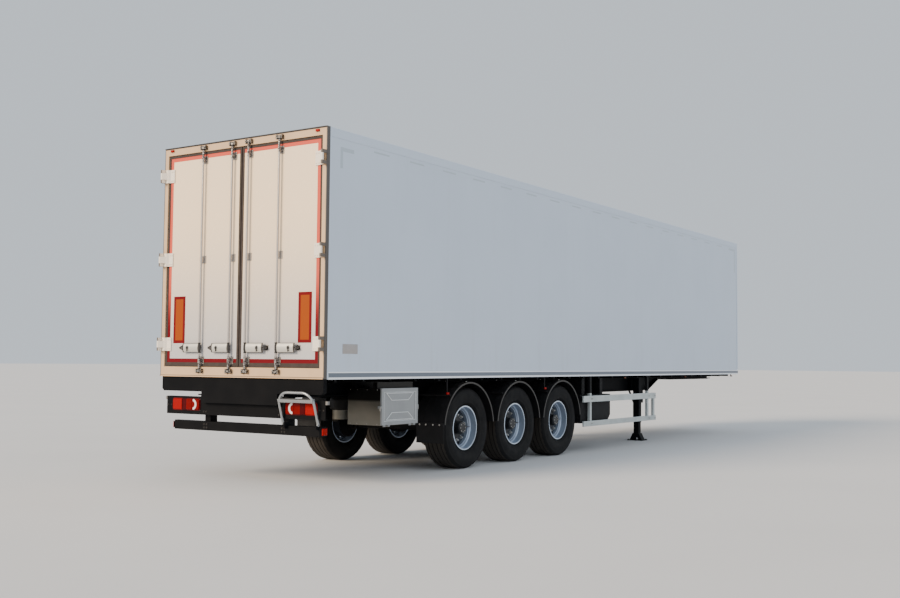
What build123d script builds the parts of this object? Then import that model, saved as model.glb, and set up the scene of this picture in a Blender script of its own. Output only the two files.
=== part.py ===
from build123d import *

import math
import os

# Box-body semi-trailer with an insulated load space, two rear doors and three axles.
# Sizes are in millimetres. Shapes are drawn with X measured forward from the rear face of
# the door frame, Y to the left and Z up from the ground, and export_node moves them so that
# the origin lies on the ground under the middle of the whole trailer. Pieces that come in
# pairs are drawn for the right-hand side and mirrored.

# Overall size
BODY_LENGTH = 13600.0
BODY_WIDTH = 2600.0
BODY_TOP = 4000.0
FLOOR_UNDERSIDE = 1204.0
REAR_REACH = 78.0
FRONT_REACH = 60.0

# Panels of the load space
WALL_THICKNESS = 60.0
ROOF_THICKNESS = 85.0
FLOOR_THICKNESS = 118.0
TRIM_THICKNESS = 5.0
TRIM_LEG = 60.0
TRIM_DROP = 105.0
TRIM_RADIUS = 12.0
SKIN_INSET = 6.0
RAIL_HEIGHT = 81.0
RAIL_SHEET = 4.0
RAIL_BEAD_HEIGHT = 22.0
RAIL_LIP = 138.0

# Rear door frame
PORTAL_DEPTH = 78.0
PORTAL_POST = 64.0
PORTAL_HEADER = 96.0
PORTAL_LIP = 8.0
PORTAL_SILL_BEAD = 12.0

# Rear doors
LEAF_THICKNESS = 80.0
LEAF_RECESS = 16.0
LEAF_MIDDLE_GAP = 20.0
SEAL_GAP = 7.0
SEAL_WIDTH = 24.0
SEAL_MIDDLE_WIDTH = 12.0
SEAL_START = 14.0
SEAL_DEPTH = 60.0

# Door hinges, three to a door
HINGE_PIN_BACK = 62.0
HINGE_PIN_INSET = 18.0
HINGE_PIN_RADIUS = 9.0
HINGE_KNUCKLE_RADIUS = 16.0
HINGE_HEIGHT = 160.0
HINGE_ARM_HEIGHT = 80.0
HINGE_SPLIT = 2.0
HINGE_BOTTOM_RISE = 270.0
HINGE_TOP_DROP = 350.0
STRAP_THICKNESS = 14.0
STRAP_REACH = 106.0
STRAP_POST_COVER = 25.0
STRAP_POST_CLEARANCE = 6.0
PIN_FIT = 0.08

# Locking rods, two to a door, with their cams, keepers and guides
ROD_RADIUS = 13.5
ROD_STAND_OFF = 22.0
ROD_OUTER = 610.0
ROD_INNER = 130.0
ROD_BOTTOM_RISE = 58.0
ROD_TOP_DROP = 42.0
CAM_HUB_RADIUS = 15.0
CAM_WIDTH = 40.0
CAM_HEIGHT = 26.0
CAM_DEPTH = 13.5
KEEPER_CLEARANCE = 8.0
KEEPER_CHEEK = 18.0
KEEPER_REACH = 36.0
KEEPER_BASE = 2.0
KEEPER_HEIGHT = 52.0
KEEPER_RADIUS = 12.0
GUIDE_RADIUS = 16.5
GUIDE_HEIGHT = 60.0
GUIDE_FOOT_WIDTH = 90.0
GUIDE_FOOT_HEIGHT = 90.0
GUIDE_FOOT_SHEET = 5.0
GUIDE_BOTTOM_RISE = 138.0
GUIDE_TOP_DROP = 158.0

# Rod handles: a curved cover on the rod's hub, held by a slotted post on the door
HANDLE_RISE = 226.0
HANDLE_HUB_HEIGHT = 60.0
HANDLE_REACH = 324.0
HANDLE_HEIGHT = 110.0
HANDLE_CROWN = 14.0
HANDLE_EDGE_BACK = 20.0
HANDLE_SHEET = 4.0
CATCH_REACH = 280.0
CATCH_WIDTH = 12.0
CATCH_HEIGHT = 44.0
CATCH_SLOT_GAP = 4.0
CATCH_EYE_RADIUS = 7.0
CATCH_FOOT_WIDTH = 60.0
CATCH_FOOT_SHEET = 5.0

# Rear marker boards
BOARD_WIDTH = 196.0
BOARD_HEIGHT = 565.0
BOARD_THICKNESS = 3.0
BOARD_OUTER_INSET = 200.0
BOARD_RISE = 282.0

# Chassis
BEAM_WEB = 8.0
BEAM_FLANGE_WIDTH = 140.0
BEAM_FLANGE = 14.0
BEAM_FRONT_SETBACK = 120.0
BEAM_LOW_Z = 905.0
BEAM_REAR_Z = 985.0
BEAM_REAR_END = 1700.0
BEAM_REAR_SLOPE = 500.0
NECK_Z = 1104.0
NECK_SETBACK = 3450.0
NECK_SLOPE = 500.0
CROSS_HEIGHT = 45.0
CROSS_WIDTH = 50.0
CROSS_INSET = 150.0
CROSS_FIRST = 380.0
CROSS_SPACING = 520.0
REAR_BEAM_START = 20.0
REAR_BEAM_Z = 1030.0
REAR_BEAM_INSET = 20.0
REAR_BEAM_CORNER = 30.0
REAR_BEAM_DEEP_HALF = 605.0
REAR_BEAM_DEEP_Z = 900.0

# Coupling to the tractor
COUPLING_PLATE = 8.0
COUPLING_LENGTH = 2120.0
COUPLING_SETBACK = 300.0
COUPLING_OVERHANG = 20.0
KING_PIN_SETBACK = 1570.0
KING_PIN_COLLAR = 36.5
KING_PIN_COLLAR_LENGTH = 35.0
KING_PIN_NECK = 25.4
KING_PIN_NECK_LENGTH = 32.0
KING_PIN_FOOT = 35.7
KING_PIN_FOOT_LENGTH = 17.0

# Air and electric couplings on the front wall: y, radius of the body, radius of its cap
COUPLINGS = (
    (-220.0, 24.0, 32.0),
    (-110.0, 30.0, 35.0),
    (0.0, 34.0, 40.0),
    (110.0, 30.0, 35.0),
    (220.0, 24.0, 32.0),
)
COUPLING_PANEL_WIDTH = 600.0
COUPLING_PANEL_HEIGHT = 210.0
COUPLING_PANEL_RISE = 126.0
COUPLING_PANEL_SHEET = 12.0
COUPLING_CAP = 12.0

# Wheels
AXLE_FIRST = 3050.0
AXLE_SPACING = 1310.0
AXLE_COUNT = 3
TYRE_RADIUS = 535.5
TYRE_WIDTH = 385.0
TYRE_SIDE_RADIUS = 415.0
TYRE_FOOT_RISE = 31.0
TYRE_FOOT_INSET = 20.0
TYRE_SHOULDER_DROP = 30.0
TYRE_SHOULDER_INSET = 14.0
TYRE_EDGE_DROP = 10.0
TYRE_EDGE_INSET = 30.0
TYRE_CROWN_INSET = 55.0
TYRE_FLANGE_GAP = 2.0
BEAD_GAP = 1.0
WHEEL_TRACK = 2040.0
RIM_WIDTH = 298.0
RIM_FLANGE = 299.0
RIM_LIP = 14.0
RIM_SEAT = 285.8
RIM_WELL = 250.0
RIM_WELL_HALF = 35.0
RIM_WELL_SLOPE = 25.0
RIM_SHEET = 10.0
RIM_INNER_SHIFT = 3.0
DISC_THICKNESS = 14.0
DISC_DISH = 20.0
DISC_FLAT = 190.0
DISC_BORE = 140.0
HAND_HOLE_COUNT = 10
HAND_HOLE_RADIUS = 21.0
HAND_HOLE_CIRCLE = 215.0
HUB_FLANGE = 184.0
HUB_FLANGE_THICKNESS = 26.0
HUB_BARREL = 95.0
HUB_INNER_REACH = 120.0
HUB_PILOT = 22.0
HUB_CAP_RADIUS = 84.0
HUB_CAP_START = 40.0
HUB_REACH = 118.0
HUB_CAP_CHAMFER = 14.0
HUB_BORE_DEPTH = 78.0
DRUM_RADIUS = 206.0
DRUM_WALL = 14.0
DRUM_REACH = 200.0
BEARING_GAP = 0.3

# Axles
AXLE_RADIUS = 63.5
AXLE_TUBE_SETBACK = 220.0
SPINDLE_RADIUS = 40.0
SPINDLE_REACH = 40.0
SHIELD_RADIUS = 198.0
SHIELD_SHEET = 6.0
CHAMBER_Y = 450.0
CHAMBER_RADIUS = 82.0
CHAMBER_BAND_RADIUS = 90.0
CHAMBER_BAND = 16.0
CHAMBER_EDGE = 22.0
CHAMBER_LENGTH = 200.0
CHAMBER_RISE = 105.0
CHAMBER_BRACKET = 80.0

# Suspension
ARM_WIDTH = 100.0
ARM_EYE_RADIUS = 44.0
ARM_EYE_RISE = 118.0
ARM_DEPTH = 56.0
ARM_TAIL = 30.0
HANGER_AHEAD = 500.0
HANGER_CHEEK = 14.0
HANGER_FIT = 2.0
HANGER_TOP_LENGTH = 240.0
HANGER_LOW_LENGTH = 120.0
HANGER_BOTTOM = 600.0
HANGER_ROOM = 190.0
PIVOT_RADIUS = 20.0
SPRING_BEHIND = 380.0
SPRING_RADIUS = 150.0
SPRING_PISTON_RADIUS = 112.0
SPRING_PISTON_HEIGHT = 130.0
SPRING_PLATE_RADIUS = 120.0
SPRING_PLATE = 10.0
SPRING_ROLL = 34.0
SPRING_BOTTOM = 600.0
SPRING_TYRE_GAP = 27.5
SEAT_LENGTH = 160.0
CLAMP_PLATE = 25.0
CLAMP_BOLT_RADIUS = 11.0
CLAMP_BOLT_X = 77.0
CLAMP_BOLT_Y = 38.0
SHOCK_RADIUS = 27.0
SHOCK_EYE_RADIUS = 32.0
SHOCK_TOP_AHEAD = 250.0
SHOCK_LOW_AHEAD = 110.0
SHOCK_EYE_WIDTH = 60.0

# Mudguards
GUARD_RADIUS = 600.0
GUARD_SHEET = 8.0
GUARD_VALANCE = 14.0
GUARD_RIB = 3.0
GUARD_RIB_WIDTH = 24.0
GUARD_RIB_PLACES = (0.25, 0.5, 0.75)
GUARD_TYRE_GAP = 27.5
GUARD_INSET = 50.0
GUARD_END_ANGLE = 6.0
STAY_RADIUS = 17.0
STAY_ANGLE = 45.0
STAY_INSET = 20.0
STAY_SINK = 4.0
FLAP_THICKNESS = 8.0
FLAP_INSET = 10.0
FLAP_BOTTOM = 360.0
FLAP_TOP = 620.0
FLAP_BAR = 14.0
FLAP_BAR_HEIGHT = 44.0

# Side guards
SIDE_GUARD_AXLE_GAP = 690.0
SIDE_GUARD_LEG_GAP = 260.0
SIDE_RAIL_INSET = 38.0
SIDE_RAIL_THICKNESS = 25.0
SIDE_RAIL_RADIUS = 5.0
SIDE_RAIL_GROOVE = 4.0
SIDE_RAIL_GROOVE_SHARE = 0.3
SIDE_RAIL_UPPER = (786.0, 886.0)
SIDE_RAIL_LOWER = (402.0, 486.0)
SIDE_POST_WIDTH = 60.0
SIDE_POST_DEPTH = 42.0
SIDE_POST_INSET = 300.0

# Landing legs
LEG_SETBACK = 4100.0
LEG_BEAM_GAP = 75.0
LEG_TUBE = 120.0
LEG_TUBE_RADIUS = 12.0
LEG_TOP_DROP = 20.0
LEG_INNER_TUBE = 100.0
LEG_TUBE_BOTTOM = 330.0
LEG_BRACKET_LENGTH = 240.0
LEG_SHAFT_RADIUS = 20.0
LEG_SHAFT_Z = 800.0
GEAR_LENGTH = 70.0
GEAR_WIDTH = 120.0
GEAR_HEIGHT = 230.0
BRACE_BAR = 12.0
BRACE_WIDTH = 60.0
BRACE_RUN = 260.0
BRACE_LOW_Z = 640.0
FOOT_LENGTH = 220.0
FOOT_WIDTH = 300.0
FOOT_PLATE = 16.0
FOOT_HEIGHT = 130.0
FOOT_CHEEK_LENGTH = 140.0
FOOT_ARCH_RADIUS = 48.0
CRANK_RADIUS = 9.0
CRANK_THROW = 260.0
CRANK_ANGLE = 45.0
CRANK_STUB = 50.0
CRANK_GRIP = 110.0

# Air tanks and stowage box
TANK_RADIUS = 140.0
TANK_LENGTH = 900.0
TANK_DOME = 60.0
TANK_AXLE_GAP = 2230.0
TANK_Y = 300.0
TANK_DROP = 5.0
TANK_BAND = 4.0
TANK_BAND_WIDTH = 44.0
TANK_SADDLE = 120.0
STOWAGE_AXLE_GAP = 730.0
STOWAGE_LENGTH = 1100.0
STOWAGE_INSET = 120.0
STOWAGE_DEPTH = 420.0
STOWAGE_BOTTOM = 450.0
STOWAGE_TOP = 900.0
STOWAGE_CHAMFER = 110.0
STOWAGE_RADIUS = 18.0
STOWAGE_HANGER_INSET = 60.0
STOWAGE_HANGER = 100.0
STOWAGE_HANGER_PLACES = (0.2, 0.8)

# Toolbox with its drop door
TOOLBOX_START = 1090.0
TOOLBOX_LENGTH = 715.0
TOOLBOX_INSET = 50.0
TOOLBOX_DEPTH = 490.0
TOOLBOX_BOTTOM = 650.0
TOOLBOX_TOP = 1082.0
TOOLBOX_WALL = 5.0
TOOLBOX_RAIL_WIDTH = 60.0
TOOLBOX_RAIL_INSET = 80.0
TOOLBOX_DOOR_GAP = 3.0
TOOLBOX_DOOR_SHEET = 3.0
TOOLBOX_DOOR_DEPTH = 24.0
TOOLBOX_DOOR_LAP = 5.0
TOOLBOX_DOOR_RISE = 6.0
TOOLBOX_BORDER = 45.0
TOOLBOX_RECESS = 8.0
TOOLBOX_HINGE_RADIUS = 8.0
TOOLBOX_HINGE_PIN = 4.0
TOOLBOX_HINGE_INSET = 100.0
TOOLBOX_EYE = 40.0
TOOLBOX_EYE_GAP = 3.0
TOOLBOX_LEAF_REACH = 60.0
LATCH_HEIGHT = 30.0
LATCH_LENGTH = 52.0
LATCH_THICKNESS = 14.0
LATCH_HOOK = 8.0
PRESSING_WIDE = 273.0
PRESSING_NARROW = 165.0
PRESSING_HEIGHT = 84.0
PRESSING_INSET = 58.0
PRESSING_CHAMFER = 3.0
PRESSING_RISE = 6.0

# Lamp carrier and tail lamps
LAMP_BAR_X = 85.0
LAMP_BAR_DEPTH = 65.0
LAMP_BAR_INSET = 40.0
LAMP_BAR_BOTTOM = 752.0
LAMP_BAR_TOP = 966.0
LAMP_BAR_SHEET = 4.0
LAMP_BAR_HANGER = 60.0
LAMP_INNER = 690.0
LAMP_OUTER = 1140.0
LAMP_BOTTOM = 808.0
LAMP_TOP = 935.0
LAMP_FLANGE = 10.0
LAMP_FLANGE_DEPTH = 7.0
LAMP_LENS_DEPTH = 12.0
LAMP_CORNER = 26.0
LAMP_LENS_EDGE = 5.0
LAMP_BODY_DEPTH = 55.0
LAMP_FIT = 5.0
LAMP_GROOVE = 4.0
LAMP_SECTION_PLACES = (0.38, 0.72)

# Underrun bar
UNDERRUN_X = 115.0
UNDERRUN_DEPTH = 100.0
UNDERRUN_BOTTOM = 565.0
UNDERRUN_HEIGHT = 110.0
UNDERRUN_INSET = 125.0
UNDERRUN_RADIUS = 14.0
UNDERRUN_END_CHAMFER = 24.0
UNDERRUN_ARM_WIDTH = 90.0
UNDERRUN_ARM_Y = 620.0
UNDERRUN_ARM_DEPTH = 110.0
UNDERRUN_ARM_BITE = 20.0

# Folding step on the underrun bar
STEP_TUBE = 15.0
STEP_INNER = 648.0
STEP_OUTER = 1162.0
STEP_PIVOT_X = 80.0
STEP_PIVOT_RISE = 25.0
STEP_LEAN = 110.0
STEP_RISE = 350.0
STEP_CORNER = 150.0
STEP_TREAD_RISE = 275.0
STEP_TREAD_DEPTH = 40.0
STEP_TREAD_THICKNESS = 36.0
STEP_EYE_SHOULDER = 2.0
STEP_EYE = 16.0
STEP_PIN = 8.0
STEP_PIN_REACH = 12.0
STEP_LUG = 14.0
STEP_LUG_RADIUS = 16.0
STEP_LUG_INSET = 25.0

# Small lamps; the tables give x from the rear or from the front, and the drop of the
# lamp's middle below the floor
MARKER_HALF = (9.0, 25.0, 13.0)
MARKER_EDGE = 4.0
MARKER_STEM = 16.0
MARKER_STEM_DEPTH = 14.0
TOP_MARKER_INSET = 135.0
TOP_MARKER_DROP = 40.0
REAR_MARKERS = ((2450.0, 201.0), (5040.0, 174.0), (7850.0, 39.0))
FRONT_MARKERS = ((3000.0, 39.0), (400.0, 39.0))
END_LAMP_LENGTH = 18.0
END_LAMP_WIDTH = 80.0
END_LAMP_HEIGHT = 76.0
BAR_LAMP_LENGTH = 28.0
BAR_LAMP_SIZE = 40.0
BAR_LAMP_DROP = 5.0

# Places worked out from the sizes above
ORIGIN_SHIFT = (REAR_REACH - FRONT_REACH - BODY_LENGTH) / 2
HALF_WIDTH = BODY_WIDTH / 2
SKIN_Y = HALF_WIDTH - SKIN_INSET
INNER_Y = SKIN_Y - WALL_THICKNESS
FRONT_SKIN_X = BODY_LENGTH - TRIM_THICKNESS
FRONT_INNER_X = FRONT_SKIN_X - WALL_THICKNESS
ROOF_TOP = BODY_TOP - TRIM_THICKNESS
CEILING = ROOF_TOP - ROOF_THICKNESS
FLOOR_TOP = FLOOR_UNDERSIDE + FLOOR_THICKNESS
RAIL_TOP = FLOOR_UNDERSIDE + RAIL_HEIGHT
RAIL_BOTTOM = FLOOR_UNDERSIDE - RAIL_SHEET
OPENING_Y = HALF_WIDTH - PORTAL_POST
OPENING_TOP = BODY_TOP - PORTAL_HEADER
LEAF_FACE = LEAF_RECESS
LEAF_OUTER_Y = OPENING_Y - SEAL_GAP - SEAL_WIDTH
HINGE_PIN_X = -HINGE_PIN_BACK
HINGE_PIN_Y = HALF_WIDTH - HINGE_PIN_INSET
ROD_X = -ROD_STAND_OFF
ROD_BOTTOM = FLOOR_UNDERSIDE + ROD_BOTTOM_RISE
ROD_TOP = BODY_TOP - ROD_TOP_DROP
HANDLE_Z = FLOOR_TOP + HANDLE_RISE
WHEEL_Y = WHEEL_TRACK / 2
TYRE_INNER_Y = WHEEL_Y - TYRE_WIDTH / 2
AXLE_LAST = AXLE_FIRST + AXLE_SPACING * (AXLE_COUNT - 1)
AXLE_TUBE_END = WHEEL_Y - AXLE_TUBE_SETBACK
BEAM_Y = TYRE_INNER_Y - SPRING_TYRE_GAP - SPRING_RADIUS
BEAM_START = PORTAL_DEPTH
BEAM_END = BODY_LENGTH - BEAM_FRONT_SETBACK
NECK_START = BODY_LENGTH - NECK_SETBACK
CROSS_UNDERSIDE = FLOOR_UNDERSIDE - CROSS_HEIGHT
CROSS_REACH = HALF_WIDTH - CROSS_INSET
REAR_BEAM_REACH = HALF_WIDTH - REAR_BEAM_INSET
GUARD_INNER = TYRE_INNER_Y - GUARD_TYRE_GAP
GUARD_OUTER = HALF_WIDTH - GUARD_INSET
LEG_X = BODY_LENGTH - LEG_SETBACK
LEG_Y = BEAM_Y + LEG_BEAM_GAP + LEG_TUBE / 2
LEG_TOP = CROSS_UNDERSIDE - LEG_TOP_DROP
SIDE_GUARD_START = AXLE_LAST + SIDE_GUARD_AXLE_GAP
SIDE_GUARD_END = LEG_X - SIDE_GUARD_LEG_GAP
SIDE_RAIL_OUT = HALF_WIDTH - SIDE_RAIL_INSET
TANK_X = AXLE_LAST + TANK_AXLE_GAP
STOWAGE_START = AXLE_LAST + STOWAGE_AXLE_GAP
STOWAGE_END = STOWAGE_START + STOWAGE_LENGTH
STOWAGE_OUT = HALF_WIDTH - STOWAGE_INSET
TOOLBOX_END = TOOLBOX_START + TOOLBOX_LENGTH
TOOLBOX_OUT = HALF_WIDTH - TOOLBOX_INSET
TOOLBOX_HINGE_Y = -TOOLBOX_OUT - TOOLBOX_DOOR_GAP - TOOLBOX_HINGE_RADIUS
TOOLBOX_HINGE_Z = TOOLBOX_BOTTOM - TOOLBOX_HINGE_RADIUS
LAMP_BAR_REACH = HALF_WIDTH - LAMP_BAR_INSET
UNDERRUN_REACH = HALF_WIDTH - UNDERRUN_INSET
UNDERRUN_TOP = UNDERRUN_BOTTOM + UNDERRUN_HEIGHT
STEP_PIVOT_Z = UNDERRUN_TOP + STEP_PIVOT_RISE


def axle_positions():
    """X of each axle, rearmost first."""
    return [AXLE_FIRST + AXLE_SPACING * index for index in range(AXLE_COUNT)]


def hinge_heights():
    """Z of the three hinges of a door, the lowest first."""
    lowest = FLOOR_TOP + HINGE_BOTTOM_RISE
    highest = BODY_TOP - HINGE_TOP_DROP
    return [lowest, (lowest + highest) / 2, highest]


def guide_heights():
    """Z of the three guides of a locking rod, the lowest first."""
    lowest = ROD_BOTTOM + GUIDE_BOTTOM_RISE
    highest = ROD_TOP - GUIDE_TOP_DROP
    return [lowest, (lowest + highest) / 2, highest]


def cross_positions():
    """X of each cross member under the floor, rearmost first."""
    count = int((BEAM_END - CROSS_FIRST) // CROSS_SPACING) + 1
    return [CROSS_FIRST + CROSS_SPACING * index for index in range(count)]


def about(middle, size):
    """Pair of limits of a given size about a middle."""
    return (middle - size / 2, middle + size / 2)


def block(x_range, y_range, z_range):
    """Rectangular solid between three pairs of limits."""
    size = [high - low for low, high in (x_range, y_range, z_range)]
    middle = [(high + low) / 2 for low, high in (x_range, y_range, z_range)]
    return Pos(*middle) * Box(*size)


def rod_along_x(radius, y, z, x_from, x_to):
    """Round bar along X."""
    length = x_to - x_from
    return Pos((x_from + x_to) / 2, y, z) * Rot(0, 90, 0) * Cylinder(radius, length)


def rod_along_y(radius, x, z, y_from, y_to):
    """Round bar along Y."""
    length = y_to - y_from
    return Pos(x, (y_from + y_to) / 2, z) * Rot(90, 0, 0) * Cylinder(radius, length)


def rod_along_z(radius, x, y, z_from, z_to):
    """Round bar along Z."""
    return Pos(x, y, (z_from + z_to) / 2) * Cylinder(radius, z_to - z_from)


def slanting_rod(radius, start, end):
    """Round bar between two points."""
    run = Vector(*end) - Vector(*start)
    plane = Plane(origin=start, z_dir=run)
    return extrude(plane * Circle(radius), amount=run.length)


def prism_xz(points, y_from, y_to):
    """Outline in X and Z carried along Y."""
    corners = [(x, y_from, z) for x, z in points]
    face = make_face(Polyline(*corners, close=True))
    return extrude(face, amount=y_to - y_from, dir=(0, 1, 0))


def prism_yz(points, x_from, x_to):
    """Outline in Y and Z carried along X."""
    corners = [(x_from, y, z) for y, z in points]
    face = make_face(Polyline(*corners, close=True))
    return extrude(face, amount=x_to - x_from, dir=(1, 0, 0))


def prism_xy(points, z_from, z_to):
    """Outline in X and Y carried up."""
    corners = [(x, y, z_from) for x, y in points]
    face = make_face(Polyline(*corners, close=True))
    return extrude(face, amount=z_to - z_from, dir=(0, 0, 1))


def turned(points):
    """Solid turned about Y from an outline of radius and outward distance, which is -Y."""
    face = make_face(Polyline(*[(radius, -out) for radius, out in points], close=True))
    return revolve(face, Axis.Y, 360)


def rounded(shape, axis, radius):
    """The shape with its edges along one axis rounded."""
    return fillet(shape.edges().filter_by(axis), radius)


def other_side(shape):
    """The same piece on the other side of the trailer."""
    return mirror(shape, about=Plane.XZ)


def joined(pieces):
    """One shape made of pieces that touch or overlap."""
    total = pieces[0]
    for piece in pieces[1:]:
        total = total + piece
    return total


def export_node(name, *solids):
    """Write one node, moved so that the origin is under the trailer's middle."""
    placed = []
    for shape in solids:
        placed.extend((Pos(ORIGIN_SHIFT, 0, 0) * shape).solids())
    export_step(Compound(placed), f"parts/{name}.step")


def side_wall():
    """Insulated right-hand side panel."""
    return block((PORTAL_DEPTH, FRONT_SKIN_X), (-SKIN_Y, -INNER_Y), (FLOOR_UNDERSIDE, CEILING))


def front_wall():
    """Insulated front panel between the side panels."""
    return block((FRONT_INNER_X, FRONT_SKIN_X), (-INNER_Y, INNER_Y), (FLOOR_UNDERSIDE, CEILING))


def roof_panel():
    """Roof panel, which lies on the side and front panels."""
    return block((PORTAL_DEPTH, FRONT_SKIN_X), (-SKIN_Y, SKIN_Y), (CEILING, ROOF_TOP))


def floor_panel():
    """Insulated floor between the side panels."""
    return block((PORTAL_DEPTH, FRONT_INNER_X), (-INNER_Y, INNER_Y), (FLOOR_UNDERSIDE, FLOOR_TOP))


def edge_trims():
    """Angle profiles over the roof edges and down the front corners, in one frame."""
    outer = SKIN_Y + TRIM_THICKNESS
    leg = outer - TRIM_LEG
    trim_back = BODY_LENGTH - TRIM_LEG
    trim_low = BODY_TOP - TRIM_DROP
    shell = block((PORTAL_DEPTH, BODY_LENGTH), (-outer, outer), (RAIL_TOP, BODY_TOP))
    roof_edges = [edge for edge in shell.edges().filter_by(Axis.X) if edge.center().Z > CEILING]
    corner_edges = [edge for edge in shell.edges().filter_by(Axis.Z) if edge.center().X > trim_back]
    shell = fillet(roof_edges + corner_edges, TRIM_RADIUS)
    core = block((0, FRONT_SKIN_X), (-SKIN_Y, SKIN_Y), (0, ROOF_TOP))
    side_window = block((0, trim_back), (-BODY_WIDTH, BODY_WIDTH), (0, trim_low))
    roof_window = block((0, trim_back), (-leg, leg), (FLOOR_TOP, BODY_TOP + TRIM_DROP))
    front_window = block((FRONT_INNER_X, BODY_LENGTH + TRIM_DROP), (-leg, leg), (0, trim_low))
    return shell - core - side_window - roof_window - front_window


def base_rails():
    """Bottom rails along both sides and the front, with a bead on their lower edge."""
    plate = SKIN_Y + RAIL_SHEET
    bead_top = RAIL_BOTTOM + RAIL_BEAD_HEIGHT
    outline = [
        (-plate + RAIL_LIP, RAIL_BOTTOM),
        (-HALF_WIDTH, RAIL_BOTTOM),
        (-HALF_WIDTH, bead_top),
        (-plate, bead_top),
        (-plate, RAIL_TOP),
        (-SKIN_Y, RAIL_TOP),
        (-SKIN_Y, FLOOR_UNDERSIDE),
        (-plate + RAIL_LIP, FLOOR_UNDERSIDE),
    ]
    right = prism_yz(outline, PORTAL_DEPTH, FRONT_SKIN_X)
    front_x = (FRONT_SKIN_X, FRONT_SKIN_X + RAIL_SHEET)
    front = block(front_x, (-plate, plate), (RAIL_BOTTOM, RAIL_TOP))
    return joined([right, other_side(right), front])


def rear_portal():
    """Steel frame round the door opening, with a rain lip above and a bead below."""
    across = (-HALF_WIDTH, HALF_WIDTH)
    frame = block((0, PORTAL_DEPTH), across, (FLOOR_UNDERSIDE, BODY_TOP))
    opening_y = (-OPENING_Y, OPENING_Y)
    opening = block((-PORTAL_LIP, 2 * PORTAL_DEPTH), opening_y, (FLOOR_TOP, OPENING_TOP))
    lip = block((-PORTAL_LIP, 0), across, (BODY_TOP - PORTAL_LIP, BODY_TOP))
    bead_z = (FLOOR_UNDERSIDE, FLOOR_UNDERSIDE + PORTAL_SILL_BEAD)
    bead = block((-PORTAL_LIP, 0), across, bead_z)
    return frame - opening + lip + bead


def keeper(y, z):
    """Forked keeper on the door frame, open to the rear, for one rod end."""
    slot = CAM_WIDTH + 2 * KEEPER_CLEARANCE
    outer = slot + 2 * KEEPER_CHEEK
    fork = block((-KEEPER_REACH, 0), about(y, outer), about(z, KEEPER_HEIGHT))
    rear_edges = [edge for edge in fork.edges().filter_by(Axis.Y) if edge.center().X < -KEEPER_BASE]
    fork = fillet(rear_edges, KEEPER_RADIUS)
    return fork - block((-2 * KEEPER_REACH, -KEEPER_BASE), about(y, slot), about(z, 2 * KEEPER_HEIGHT))


def hinge_bracket(z):
    """Right-hand hinge bracket on the door frame, two knuckles and their pin."""
    z_range = about(z, HINGE_HEIGHT)
    wide = 2 * HINGE_KNUCKLE_RADIUS
    plate = block((HINGE_PIN_X, 0), about(-HINGE_PIN_Y, wide), z_range)
    knuckle = rod_along_z(HINGE_KNUCKLE_RADIUS, HINGE_PIN_X, -HINGE_PIN_Y, *z_range)
    room_z = about(z, HINGE_ARM_HEIGHT + 2 * HINGE_SPLIT)
    room = block((-2 * HINGE_PIN_BACK, HINGE_PIN_BACK), about(-HINGE_PIN_Y, 2 * wide), room_z)
    pin = rod_along_z(HINGE_PIN_RADIUS, HINGE_PIN_X, -HINGE_PIN_Y, *z_range)
    return plate + knuckle - room + pin


def portal_fittings():
    """Hinge brackets and rod keepers, each a solid of its own on the door frame."""
    pieces = []
    for z in hinge_heights():
        bracket = hinge_bracket(z)
        pieces += [bracket, other_side(bracket)]
    for y in (-ROD_OUTER, -ROD_INNER, ROD_INNER, ROD_OUTER):
        pieces.append(keeper(y, ROD_BOTTOM + CAM_HEIGHT / 2))
        pieces.append(keeper(y, ROD_TOP - CAM_HEIGHT / 2))
    return pieces


def leaf_edges(inset_side, inset_middle):
    """Y and Z limits of a right-hand leaf, inset from its seal's outer edge."""
    outer = OPENING_Y - SEAL_GAP - inset_side
    inner = LEAF_MIDDLE_GAP / 2 + inset_middle
    low = FLOOR_TOP + SEAL_GAP + inset_side
    high = OPENING_TOP - SEAL_GAP - inset_side
    return (-outer, -inner), (low, high)


def door_leaf():
    """Insulated right-hand door leaf."""
    y_range, z_range = leaf_edges(SEAL_WIDTH, SEAL_MIDDLE_WIDTH)
    return block((LEAF_FACE, LEAF_FACE + LEAF_THICKNESS), y_range, z_range)


def door_seal():
    """Rubber seal that runs round the right-hand leaf."""
    y_range, z_range = leaf_edges(0, 0)
    leaf_y, leaf_z = leaf_edges(SEAL_WIDTH, SEAL_MIDDLE_WIDTH)
    start = LEAF_FACE + SEAL_START
    ring = block((start, start + SEAL_DEPTH), y_range, z_range)
    return ring - block((0, start + 2 * SEAL_DEPTH), leaf_y, leaf_z)


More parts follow.
